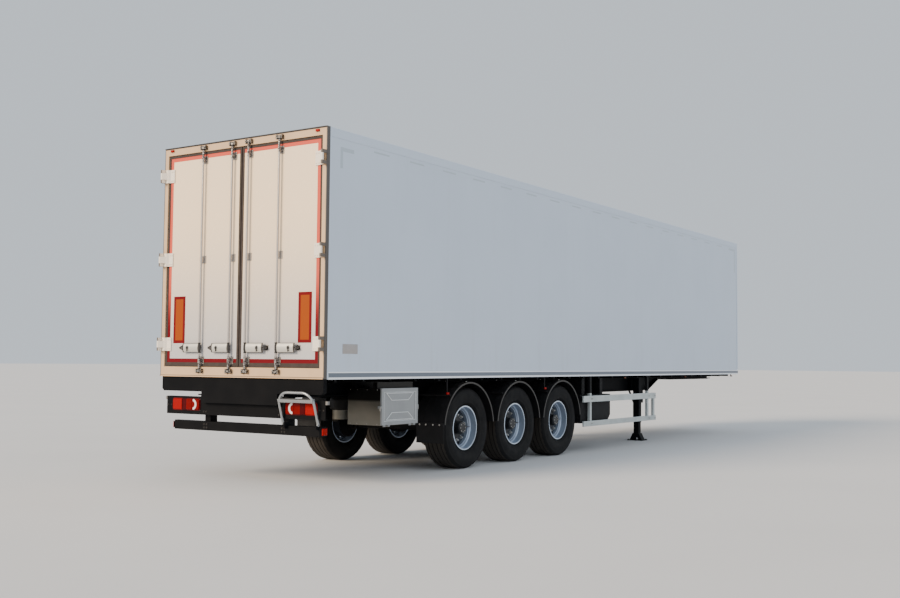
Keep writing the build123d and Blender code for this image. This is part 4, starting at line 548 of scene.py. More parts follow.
@dataclass(frozen=True)
class FramePaint(Finish):
    """Paint of the door frame, with a dark cap, a painted shadow line over the sill's bead, a side
    return darkened as painted shade, and the wall's colour further forward.
    """

    patch_span: Span = (0.4, 0.8)
    # cap: dark colour of the top cover, also used for the painted shadow line over the sill's bead.
    cap: Colour = (0.035, 0.030, 0.028)
    cap_span: Span = (3.980, 3.982)
    sill_shadow_line: Span = (1.2165, 1.2225)
    sill_shadow_edge: float = 0.0008
    shaded_flank: Colour = (0.085, 0.075, 0.068)
    shaded_flank_span: Span = (1.2890, 1.2905)
    skin: Colour = WALL_COLOUR
    skin_span: Span = (REAR_FACE + 0.052, REAR_FACE + 0.054)

    def base(self, surface: Surface, cloud: Sock) -> Sock:
        """Frame colour with its dark cap, a painted shadow line over the sill's bead and a side return
        in painted shade.

        Args:
            surface: The material being made.
            cloud: Broad cloudy pattern.

        Returns:
            The colour.
        """
        along, across, height = surface.place()
        # The dark top cover is the frame's own; the dark line over the sill's bead is painted shade in
        # its groove.
        cap_and_sill_shadow = height.step(*self.cap_span) + height.band(*self.sill_shadow_line, self.sill_shadow_edge)
        colour = surface.blend(cap_and_sill_shadow.clamp(), super().base(surface, cloud), self.cap)
        # Painted shade: the frame's side return is coloured dark, with the wall's colour further
        # forward.
        side = abs(across).step(*self.shaded_flank_span)
        colour = surface.blend(side, colour, self.shaded_flank)
        return surface.blend(side * along.step(*self.skin_span), colour, self.skin)


@dataclass(frozen=True)
class FittingPaint(Finish):
    """Cream hinge brackets towards the sides with their outer knuckles darkened as painted shade, dark
    zinc rod keepers nearer the middle.
    """

    patch_span: Span = (0.4, 0.8)
    zinc: Colour = (0.30, 0.28, 0.25)
    zinc_metal: float = 0.7
    grime: Colour = (0.030, 0.026, 0.022)
    grime_scale: float = 75.0
    grime_span: Span = (0.44, 0.52)
    shaded_knuckle: Colour = (0.13, 0.105, 0.085)
    shaded_knuckle_span: Span = (1.268, 1.272)
    paint_span: Span = (1.0, 1.05)

    def base(self, surface: Surface, cloud: Sock) -> Sock:
        """Colour by distance from the middle.

        Args:
            surface: The material being made.
            cloud: Broad cloudy pattern.

        Returns:
            The colour.
        """
        width = abs(surface.place()[1])
        dirt = surface.noise(self.grime_scale, self.grain_detail).step(*self.grime_span)
        keeper = surface.blend(dirt, self.zinc, self.grime)
        painted = super().base(surface, cloud)
        # Painted shade: the hinge knuckles at the frame's outer edges are darkened.
        painted = surface.blend(width.step(*self.shaded_knuckle_span), painted, self.shaded_knuckle)
        return surface.blend(width.step(*self.paint_span), keeper, painted)

    def metal(self, surface: Surface) -> Sock:
        """Metal on the keepers."""
        return (1 - abs(surface.place()[1]).step(*self.paint_span)) * self.zinc_metal


@dataclass(frozen=True)
class EdgeMetal(Finish):
    """Aluminium profiles: a bright bead under the grey base rail, painted like the wall above."""

    patch_span: Span = (0.4, 0.8)
    rail: Colour = (0.145, 0.17, 0.21)
    rail_span: Span = (1.223, 1.272)
    trim: Colour = WALL_COLOUR
    trim_span: Span = (1.30, 1.31)
    metal_span: Span = (1.29, 1.30)

    def base(self, surface: Surface, cloud: Sock) -> Sock:
        """Profile colour by height.

        Args:
            surface: The material being made.
            cloud: Broad cloudy pattern.

        Returns:
            The colour.
        """
        height = surface.place()[2]
        low = surface.blend(height.band(*self.rail_span), super().base(surface, cloud), self.rail)
        return surface.blend(height.step(*self.trim_span), low, self.trim)

    def metal(self, surface: Surface) -> Sock:
        """Bare metal on the base rail only."""
        return (1 - surface.place()[2].step(*self.metal_span)) * self.metallic


@dataclass(frozen=True)
class HotDipZinc(Finish):
    """Hot-dip zinc with its spangle."""

    spangle: float = 90.0
    spangle_span: Span = (0.1, 0.8)
    spangle_share: float = 0.6
    cloud_share: float = 0.3

    def base(self, surface: Surface, cloud: Sock) -> Sock:
        """Zinc colour with spangle.

        Args:
            surface: The material being made.
            cloud: Broad cloudy pattern.

        Returns:
            The colour.
        """
        cells = surface.cells(self.spangle).step(*self.spangle_span)
        mask = cells * self.spangle_share + cloud * self.cloud_share
        return surface.blend(mask, self.colour, self.patch)


@dataclass(frozen=True)
class RodSteel(HotDipZinc):
    """Zinc-coated rods, greasy at both ends, with polished covers and dark catches and hubs."""

    spangle: float = 120.0
    spangle_share: float = 0.5
    polished: Colour = (0.80, 0.76, 0.67)
    cover_row: Span = (1.499, 1.597)
    cover_outer: Span = (0.632, 0.872)
    cover_inner: Span = (0.152, 0.392)
    dark: Colour = (0.025, 0.022, 0.020)
    dark_row: Span = (1.490, 1.606)
    low_end: Span = (1.44, 1.46)
    high_end: Span = (3.76, 3.78)
    grease_scale: float = 75.0
    grease_span: Span = (0.46, 0.52)
    grease_share: float = 0.9
    strap: Colour = (0.88, 0.80, 0.69)
    strap_span: Span = (1.05, 1.06)

    def zones(self, surface: Surface) -> tuple[Sock, Sock, Sock]:
        """Masks of the covers, of the dark parts and of the painted hinge straps.

        Args:
            surface: The material being made.

        Returns:
            The three masks.
        """
        _, across, height = surface.place()
        width = abs(across)
        covers = width.band(*self.cover_outer) + width.band(*self.cover_inner)
        covers = height.band(*self.cover_row) * covers
        ends = 1 - height.step(*self.low_end) + height.step(*self.high_end)
        spots = surface.noise(self.grease_scale, self.grain_detail).step(*self.grease_span)
        strap = width.step(*self.strap_span)
        hubs = height.band(*self.dark_row) * (1 - covers)
        dark = (hubs + ends * spots * self.grease_share).clamp() * (1 - strap)
        return covers, dark, strap

    def base(self, surface: Surface, cloud: Sock) -> Sock:
        """Colour by zone.

        Args:
            surface: The material being made.
            cloud: Broad cloudy pattern.

        Returns:
            The colour.
        """
        covers, dark, strap = self.zones(surface)
        colour = surface.blend(covers, super().base(surface, cloud), self.polished)
        colour = surface.blend(dark, colour, self.dark)
        return surface.blend(strap, colour, self.strap)

    def metal(self, surface: Surface) -> Sock:
        """Metal everywhere except on the dark parts and the painted straps."""
        _, dark, strap = self.zones(surface)
        return ((1 - dark) * (1 - strap) * self.metallic).clamp()


@dataclass(frozen=True)
class BoardFilm(Finish):
    """Retroreflective board: an amber field in a red border, with fine cells."""

    patch_span: Span = (0.3, 0.8)
    field: Colour = (0.30, 0.056, 0.0005)
    border: float = 0.034
    width_span: Span = (0.904, 1.100)
    height_span: Span = (1.604, 2.169)
    cell_scale: float = 160.0

    def within(self, place: Sock, span: Span) -> Sock:
        """Mask of the field along one direction.

        Args:
            place: Place along the direction.
            span: The board's edges.

        Returns:
            1 between the two borders and 0 outside.
        """
        return place.band(span[0] + self.border, span[1] - self.border)

    def base(self, surface: Surface, cloud: Sock) -> Sock:
        """Field and border colours.

        Args:
            surface: The material being made.
            cloud: Broad cloudy pattern.

        Returns:
            The colour.
        """
        _, across, height = surface.place()
        inside = self.within(abs(across), self.width_span) * self.within(height, self.height_span)
        return surface.blend(inside, super().base(surface, cloud), self.field)

    def relief(self, surface: Surface) -> Sock:
        """Cells of the film."""
        return surface.cells(self.cell_scale)


@dataclass(frozen=True)
class LampPlastic(Finish):
    """Lenses coloured by place: bright red (the colour), deep red (the patch), amber, and a pale
    painted highlight (the clear).
    """

    amber: Colour = (0.10, 0.03, 0.01)
    # The pale colour of the painted highlight on the tail lamps.
    clear: Colour = (0.80, 0.74, 0.72)
    dull: Colour = (0.20, 0.195, 0.19)
    housing: Colour = (0.008, 0.008, 0.009)
    housing_span: Span = (REAR_FACE + 0.0775, REAR_FACE + 0.0785)
    highlight_centre: Pair = (0.800, 0.8715)
    highlight_span: Span = (0.040, 0.066)
    highlight_edge: float = 0.003
    highlight_cut: Span = (0.790, 0.796)
    middle_span: Span = (0.900, 0.985)
    middle_edge: float = 0.004
    inner_span: Span = (0.900, 0.890)
    inner_share: float = 0.6
    side_lens: Span = (1.2826, 1.2836)
    roof_lens: Span = (3.80, 3.85)
    bar_lens: Span = (1.1800, 1.1815)
    bar_lens_top: Span = (0.80, 0.70)
    amber_span: Span = (-0.5, -0.4)
    end_height: Span = (0.910, 0.970)
    end_width: Span = (1.259, 1.261)
    end_along: Span = (-6.5, -6.6)
    tail_width: Span = (1.156, 1.153)
    tail_top: Span = (0.96, 0.955)
    tail_low: Span = (0.77, 0.78)
    flute: float = 0.008

    def tail(self, surface: Surface) -> Sock:
        """Tail lamp's fields: bright outside, deep in the middle, and inside a pale arc that is a
        painted highlight.

        Args:
            surface: The material being made.

        Returns:
            The colour.
        """
        along, across, height = surface.place()
        width = abs(across)
        inward = width - self.highlight_centre[0]
        rise = height - self.highlight_centre[1]
        reach = (inward * inward + rise * rise) ** 0.5
        highlight_crescent = reach.band(*self.highlight_span, self.highlight_edge)
        highlight_crescent = highlight_crescent * (1 - width.step(*self.highlight_cut))
        middle = width.band(*self.middle_span, self.middle_edge)
        colour = surface.blend(middle, self.colour, self.patch)
        colour = surface.blend(width.step(*self.inner_span) * self.inner_share, colour, self.patch)
        # Painted highlight: a pale arc on the inner third of each tail lamp.
        colour = surface.blend(highlight_crescent, colour, self.clear)
        return surface.blend(along.step(*self.housing_span), colour, self.housing)

    def small(self, surface: Surface) -> Sock:
        """Small lamps: red towards the rear, dull amber forward, clear on the carrier's ends.

        Args:
            surface: The material being made.

        Returns:
            The colour.
        """
        along, across, height = surface.place()
        width = abs(across)
        lens = width.step(*self.side_lens) + height.step(*self.roof_lens)
        lens = (lens + height.step(*self.bar_lens_top) * width.step(*self.bar_lens)).clamp()
        colour = surface.blend(along.step(*self.amber_span), self.colour, self.amber)
        colour = surface.blend(lens, self.housing, colour)
        ends = height.band(*self.end_height) * width.step(*self.end_width)
        return surface.blend(ends * along.step(*self.end_along), colour, self.dull)

    def base(self, surface: Surface, cloud: Sock) -> Sock:
        """Lens colour by place.

        Args:
            surface: The material being made.
            cloud: Broad cloudy pattern.

        Returns:
            The colour.
        """
        _, across, height = surface.place()
        in_tail = height.step(*self.tail_top) * height.step(*self.tail_low)
        in_tail = abs(across).step(*self.tail_width) * in_tail
        return surface.blend(in_tail, self.small(surface), self.tail(surface))

    def relief(self, surface: Surface) -> Sock:
        """Upright flutes across the lenses."""
        return surface.place()[1].zigzag(self.flute)


def wheel_radius(surface: Surface) -> Sock:
    """Distance from the axis of whichever wheel the place is on.

    Args:
        surface: The material being made.

    Returns:
        The distance in metres.
    """
    along, _, height = surface.place()
    spacing = AXLES[1] - AXLES[0]
    offset = (along - AXLES[0] + spacing / 2) % spacing - spacing / 2
    rise = height - WHEEL_HEIGHT
    return (offset * offset + rise * rise) ** 0.5


@dataclass(frozen=True)
class RimPaint(Finish):
    """Silver flange and barrel round a dark disc and hub; a dark band in the barrel is painted shade,
    and the disc's darkness is partly dirt and partly painted shade deep in the wheel.
    """

    well_shade: Colour = (0.12, 0.14, 0.18)
    well_shade_span: Span = (0.246, 0.262)
    well_shade_edge: float = 0.006
    well_shade_share: float = 0.8
    lip: Colour = (0.72, 0.82, 0.95)
    lip_span: Span = (0.276, 0.282)
    bead_span: Span = (0.2900, 0.2925)
    # The disc's near-black colour is partly dirt and partly painted shade deep inside the wheel.
    disc: Colour = (0.030, 0.036, 0.046)
    disc_span: Span = (0.236, 0.242)
    hub: Colour = (0.012, 0.013, 0.015)
    hub_span: Span = (0.142, 0.139)

    def base(self, surface: Surface, cloud: Sock) -> Sock:
        """Rim colour by radius.

        Args:
            surface: The material being made.
            cloud: Broad cloudy pattern.

        Returns:
            The colour.
        """
        radius = wheel_radius(surface)
        # Painted shade: a dark band in the barrel where it steps down.
        well_shade = radius.band(*self.well_shade_span, self.well_shade_edge) * self.well_shade_share
        colour = surface.blend(well_shade, super().base(surface, cloud), self.well_shade)
        colour = surface.blend(radius.step(*self.lip_span), colour, self.lip)
        colour = surface.blend(radius.step(*self.bead_span), colour, self.hub)
        # Dirt and painted shade: the disc is near black.
        colour = surface.blend(radius.step(*self.disc_span[::-1]), colour, self.disc)
        return surface.blend(radius.step(*self.hub_span), colour, self.hub)

    def metal(self, surface: Surface) -> Sock:
        """Metallic paint outside the disc."""
        return wheel_radius(surface).step(*self.disc_span) * self.metallic


@dataclass(frozen=True)
class TyreRubber(Finish):
    """Rubber, faintly dusty on the side wall and worn brown-grey on the tread."""

    sidewall: Colour = (0.014, 0.0135, 0.013)
    sidewall_span: Span = (0.335, 0.50)
    sidewall_edge: float = 0.03
    sidewall_share: float = 0.6
    cloud_span: Span = (0.3, 0.7)
    tread: Colour = (0.042, 0.036, 0.030)
    tread_span: Span = (0.531, 0.5345)
    tread_share: float = 0.8
    ring_pitch: float = 0.012
    ring_span: Span = (0.34, 0.50)
    ring_edge: float = 0.01
    ring_share: float = 0.5

    def base(self, surface: Surface, cloud: Sock) -> Sock:
        """Rubber colour by radius.

        Args:
            surface: The material being made.
            cloud: Broad cloudy pattern.

        Returns:
            The colour.
        """
        radius = wheel_radius(surface)
        dusty = radius.band(*self.sidewall_span, self.sidewall_edge) * cloud.step(*self.cloud_span)
        dusty = dusty * self.sidewall_share
        colour = surface.blend(dusty, super().base(surface, cloud), self.sidewall)
        return surface.blend(radius.step(*self.tread_span) * self.tread_share, colour, self.tread)

    def relief(self, surface: Surface) -> Sock:
        """Fine rings on the side wall over a rubber grain.

        Args:
            surface: The material being made.

        Returns:
            Height from 0 to 1.
        """
        radius = wheel_radius(surface)
        rings = radius.zigzag(self.ring_pitch) * radius.band(*self.ring_span, self.ring_edge)
        return rings * self.ring_share + super().relief(surface) * (1 - self.ring_share)


@dataclass(frozen=True)
class GuardPlastic(Finish):
    """Black plastic of the mudguards, paler along the outer lip."""

    lip: Colour = (0.075, 0.071, 0.067)
    lip_span: Span = (1.2455, 1.2475)
    lip_ahead: Span = (-4.345, -4.340)
    lip_above: Span = (0.50, 0.58)

    def base(self, surface: Surface, cloud: Sock) -> Sock:
        """Plastic colour with the pale lip.

        Args:
            surface: The material being made.
            cloud: Broad cloudy pattern.

        Returns:
            The colour.
        """
        along, across, height = surface.place()
        lip = abs(across).step(*self.lip_span) * along.step(*self.lip_ahead)
        lip = lip * height.step(*self.lip_above)
        return surface.blend(lip, super().base(surface, cloud), self.lip)


@dataclass(frozen=True)
class BellowsRubber(Finish):
    """Rubber of the air springs over their galvanised pistons."""

    zinc: Colour = (0.23, 0.22, 0.19)
    zinc_metal: float = 0.8
    piston_top: float = 0.729
    edge: float = 0.001

    def piston(self, surface: Surface) -> Sock:
        """Mask of the pistons, from their height."""
        return surface.place()[2].step(self.piston_top + self.edge, self.piston_top - self.edge)

    def base(self, surface: Surface, cloud: Sock) -> Sock:
        """Rubber above, zinc below.

        Args:
            surface: The material being made.
            cloud: Broad cloudy pattern.

        Returns:
            The colour.
        """
        return surface.blend(self.piston(surface), super().base(surface, cloud), self.zinc)

    def metal(self, surface: Surface) -> Sock:
        """Metal on the pistons."""
        return self.piston(surface) * self.zinc_metal


@dataclass(frozen=True)
class BrushedSheet(Finish):
    """Bare metal with brush or extrusion marks along one direction."""

    brushing: Point = (4.0, 260.0, 260.0)
    brush_scale: float = 1.0
    brush_detail: float = 3.0

    def relief(self, surface: Surface) -> Sock:
        """Fine marks along the metal."""
        return surface.noise(self.brush_scale, self.brush_detail, self.brushing)


@dataclass(frozen=True)
class PostMetal(BrushedSheet):
    """Aluminium rails and posts of the side guards, black where the posts meet the chassis."""

    black: Colour = (0.010, 0.010, 0.011)
    change: float = 0.925
    edge: float = 0.002

    def upper(self, surface: Surface) -> Sock:
        """Mask of the posts' black upper ends."""
        return surface.place()[2].step(self.change - self.edge, self.change + self.edge)

    def base(self, surface: Surface, cloud: Sock) -> Sock:
        """Metal colour below, black above.

        Args:
            surface: The material being made.
            cloud: Broad cloudy pattern.

        Returns:
            The colour.
        """
        return surface.blend(self.upper(surface), super().base(surface, cloud), self.black)

    def metal(self, surface: Surface) -> Sock:
        """Bare metal below the change."""
        return (1 - self.upper(surface)) * self.metallic


@dataclass(frozen=True)
class BoxSheet(BrushedSheet):
    """Bare sheet of the toolbox, darkened above its shoulder: a painted dark reflection on the polished
    side, which also darkens the mounting rails above it.
    """

    dark_reflection: Colour = (0.012, 0.012, 0.012)
    dark_reflection_share: float = 0.95
    shoulder: float = 0.935
    edge: float = 0.02

    def base(self, surface: Surface, cloud: Sock) -> Sock:
        """Sheet colour by height.

        Args:
            surface: The material being made.
            cloud: Broad cloudy pattern.

        Returns:
            The colour.
        """
        # Painted dark reflection: the sheet turns near black above its shoulder.
        high = surface.place()[2].step(self.shoulder - self.edge, self.shoulder + self.edge)
        return surface.blend(high * self.dark_reflection_share, super().base(surface, cloud), self.dark_reflection)


@dataclass(frozen=True)
class TapeFilm(Finish):
    """Reflective tape with a honeycomb of small cells."""

    cell_scale: float = 130.0
    cell_span: Span = (0.25, 0.6)
    cell_share: float = 0.4

    def base(self, surface: Surface, cloud: Sock) -> Sock:
        """Tape colour with paler cells.

        Args:
            surface: The material being made.
            cloud: Broad cloudy pattern.

        Returns:
            The colour.
        """
        cells = surface.cells(self.cell_scale).step(*self.cell_span)
        mask = (cells * self.cell_share + cloud * self.patch_share).clamp()
        return surface.blend(mask, self.colour, self.patch)


@dataclass(frozen=True)
class DoorTape(TapeFilm):
    """Red tape, deep at the bottom of the door and turning pale pink-red towards its top as a painted
    glare.
    """

    painted_glare: Colour = (0.66, 0.10, 0.065)
    painted_glare_span: Span = (1.75, 2.45)

    def base(self, surface: Surface, cloud: Sock) -> Sock:
        """Tape colour by height, with painted glare towards the top.

        Args:
            surface: The material being made.
            cloud: Broad cloudy pattern.

        Returns:
            The colour.
        """
        # Painted glare: the tape turns pale towards the door's top.
        rise = surface.place()[2].step(*self.painted_glare_span)
        return surface.blend(rise, super().base(surface, cloud), self.painted_glare)


class Palette:
    """Every finish of the trailer, made once and kept."""

    def __init__(self) -> None:
        """State the finishes."""
        self.finishes: dict[Look, Finish] = {
            Look.WALL: WallPaint(
                "panel_skin", colour=WALL_COLOUR, patch=(0.54, 0.625, 0.735), patch_scale=1.1,
                roughness=0.30, swing=0.10, coat=0.25, grain_scale=25.0, grain_height=0.00012,
                streak=(0.40, 0.43, 0.47), streak_share=0.18,
            ),
            Look.ROOF: WallPaint(
                "roof_skin", colour=(0.64, 0.66, 0.68), patch=(0.55, 0.56, 0.56), patch_scale=0.7,
                patch_share=0.4, roughness=0.45,
            ),
            Look.DOOR: DoorPaint(
                "door_skin", colour=(0.50, 0.50, 0.52), patch=(0.47, 0.47, 0.49), patch_scale=1.6,
                roughness=0.26, swing=0.10, coat=0.3, grain_scale=30.0, foot=1.33,
                streak=(0.50, 0.46, 0.42), streak_share=0.2,
            ),
            Look.DECK: Finish(
                "load_deck", colour=(0.22, 0.22, 0.23), patch=(0.15, 0.15, 0.15), patch_scale=5.0,
                patch_share=0.8, roughness=0.55,
            ),
            Look.FRAME: FramePaint(
                "frame_paint", colour=(0.63, 0.43, 0.255), patch=(0.52, 0.345, 0.20), patch_scale=4.0,
                patch_share=0.6, roughness=0.42, swing=0.12,
            ),
            Look.EDGE: EdgeMetal(
                "edge_aluminium", colour=(0.93, 0.96, 1.0), patch=(0.84, 0.87, 0.91), patch_scale=6.0,
                roughness=0.30, swing=0.12, metallic=0.05,
            ),
            Look.SEAL: Finish(
                "seal_rubber", colour=(0.040, 0.030, 0.026), patch=(0.060, 0.046, 0.040),
                patch_scale=12.0, patch_share=0.6, roughness=0.7, specular=0.3,
            ),
            Look.ROD: RodSteel(
                "rod_zinc", colour=(0.42, 0.38, 0.35), patch=(0.54, 0.50, 0.46), patch_scale=8.0,
                roughness=0.32, metallic=0.85,
            ),
            Look.FITTING: FittingPaint(
                "fitting_paint", colour=(0.88, 0.80, 0.69), patch=(0.74, 0.62, 0.48), patch_scale=14.0,
                patch_share=0.3,
            ),
            Look.BOARD: BoardFilm(
                "board_film", colour=(0.16, 0.0, 0.002), patch=(0.12, 0.0, 0.002), specular=0.15,
            ),
            # Black paint set darker than its own colour, as painted shade under the body.
            Look.CHASSIS: Finish(
                "chassis_black_painted_shade", colour=(0.0042, 0.0046, 0.0058), patch=(0.0075, 0.0077, 0.0086),
                patch_scale=4.0, patch_share=0.6, roughness=0.50, swing=0.2, grain_scale=180.0,
                dust_share=0.02, specular=0.06,
            ),
            Look.AXLE: Finish(
                "axle_paint", colour=(0.0060, 0.0060, 0.0065), patch=(0.014, 0.012, 0.010),
                patch_scale=7.0, patch_share=0.7, roughness=0.62, swing=0.2, grain_scale=150.0,
                grain_height=0.0003, dust_share=0.05, specular=0.1,
            ),
            Look.BELLOWS: BellowsRubber(
                "bellows_rubber", colour=(0.008, 0.008, 0.008), patch=(0.018, 0.016, 0.014),
                patch_scale=9.0, patch_share=0.6, roughness=0.6, dust_share=0.06, specular=0.2,
            ),
            Look.GUARD: GuardPlastic(
                "guard_plastic", colour=(0.008, 0.008, 0.009), patch=(0.014, 0.014, 0.015),
                patch_scale=6.0, patch_share=0.6, roughness=0.50, swing=0.2, grain_scale=260.0,
                grain_height=0.0004, dust_share=0.03, specular=0.15,
            ),
            Look.STOWAGE: Finish(
                "stowage_plastic", colour=(0.006, 0.006, 0.007), patch=(0.011, 0.011, 0.012),
                patch_scale=6.0, patch_share=0.6, roughness=0.50, swing=0.2, grain_scale=260.0,
                grain_height=0.0004, dust_share=0.03, specular=0.12,
            ),
            Look.PANEL: BrushedSheet(
                "panel_aluminium", colour=(0.52, 0.56, 0.60), patch=(0.38, 0.40, 0.42), patch_scale=5.0,
                patch_share=0.6, roughness=0.36, metallic=0.7, grain_height=0.00015,
            ),
            Look.RAIL: PostMetal(
                "guard_aluminium", colour=(0.60, 0.64, 0.63), patch=(0.46, 0.49, 0.49), patch_scale=5.0,
                patch_share=0.6, metallic=0.35, grain_height=0.00015, dust_share=0.06, specular=0.06,
            ),
            Look.STAINLESS: BoxSheet(
                "box_stainless", colour=(0.25, 0.235, 0.20), patch=(0.16, 0.16, 0.14), patch_share=0.6,
                roughness=0.30, swing=0.08, metallic=0.9, brushing=(160.0, 4.0, 160.0),
                grain_height=0.00003,
            ),
            Look.BOX_DOOR: Finish(
                "box_door_paint", colour=(0.30, 0.315, 0.325), patch=(0.25, 0.262, 0.27),
                patch_scale=6.0, roughness=0.36, metallic=0.25, dust_share=0.08,
            ),
            # Pale ridges on the darker box door: a painted highlight along the pressings' edges.
            Look.RIDGE_HIGHLIGHT: Finish(
                "ridge_painted_highlight", colour=(0.72, 0.74, 0.75), patch=(0.60, 0.62, 0.63), patch_scale=20.0,
                roughness=0.30, metallic=0.2,
            ),
            Look.LAMP: LampPlastic(
                "lamp_lens", colour=(0.29, 0.001, 0.0), patch=(0.060, 0.0, 0.001), roughness=0.24,
                swing=0.06, coat=0.05, grain_height=0.0006, specular=0.08,
            ),
            Look.ZINC: HotDipZinc(
                "step_zinc", colour=(0.28, 0.30, 0.315), patch=(0.42, 0.44, 0.45), patch_scale=9.0,
                roughness=0.34, metallic=0.75, dust_share=0.04,
            ),
            Look.RIM: RimPaint(
                "rim_silver", colour=(0.40, 0.48, 0.60), patch=(0.33, 0.40, 0.51), patch_share=0.3,
                roughness=0.30, swing=0.06, metallic=0.45, dust_share=0.06, dust_top=0.9, specular=0.4,
                grain_height=0.00002,
            ),
            Look.TYRE: TyreRubber(
                "tyre_rubber", colour=(0.0060, 0.0060, 0.0070), patch=(0.010, 0.0098, 0.0095),
                patch_scale=10.0, patch_share=0.6, roughness=0.66, grain_scale=220.0,
                grain_height=0.0006, dust_share=0.04, specular=0.15,
            ),
            Look.TAPE_RED: DoorTape(
                "tape_red", colour=(0.13, 0.0, 0.003), patch=(0.17, 0.001, 0.008), patch_scale=2.0,
                patch_share=0.35, specular=0.15,
            ),
            Look.TAPE_WHITE: TapeFilm(
                "tape_white", colour=(0.43, 0.50, 0.57), patch=(0.50, 0.57, 0.64), patch_share=0.3,
                roughness=0.30,
            ),
            Look.PLATE: Finish(
                "blank_plate", colour=(0.38, 0.355, 0.345), patch=(0.34, 0.31, 0.29), patch_scale=20.0,
                roughness=0.45,
            ),
            Look.BOLT: Finish(
                "bolt_steel", colour=(0.50, 0.50, 0.48), patch=(0.30, 0.26, 0.22), patch_scale=60.0,
                patch_share=0.6, roughness=0.34, swing=0.2, metallic=0.85,
            ),
            Look.DARK_BOLT: Finish(
                "dark_bolt", colour=(0.020, 0.020, 0.021), patch=(0.050, 0.042, 0.036),
                patch_scale=60.0, patch_share=0.6, roughness=0.5, swing=0.2, metallic=0.3,
                dust_share=0.1, specular=0.25,
            ),
            Look.RED_CAP: Finish(
                "red_cap", colour=(0.50, 0.02, 0.02), patch=(0.36, 0.02, 0.02), patch_scale=30.0,
            ),
            Look.YELLOW_CAP: Finish(
                "yellow_cap", colour=(0.72, 0.48, 0.03), patch=(0.55, 0.36, 0.03), patch_scale=30.0,
            ),
        }
        self.materials: dict[Look, bpy.types.Material] = {}

    def __getitem__(self, look: Look) -> bpy.types.Material:
        """The material of a finish, made when first asked for.

        Args:
            look: The finish.

        Returns:
            Its material.
        """
        if look not in self.materials:
            self.materials[look] = self.finishes[look].make()
        return self.materials[look]


def circle_points(count: int, radius: float, shift: float = 0.0) -> list[Pair]:
    """Points spaced evenly round a circle about the origin.

    Args:
        count: Number of points.
        radius: Radius of the circle.
        shift: Turn of the first point, in steps.

    Returns:
        Both coordinates of each point.
    """
    angles = [2 * math.pi * (index + shift) / count for index in range(count)]
    return [(radius * math.cos(angle), radius * math.sin(angle)) for angle in angles]


def four_corners(across: float, along: float) -> list[Pair]:
    """Corners of a rectangle about the origin, from half of each side."""
    return list(product((-across, across), (-along, along)))


@dataclass(frozen=True)
class BoltSize:
    """Width across the corners and height of a hexagon head with its washer."""

    across: float
    height: float


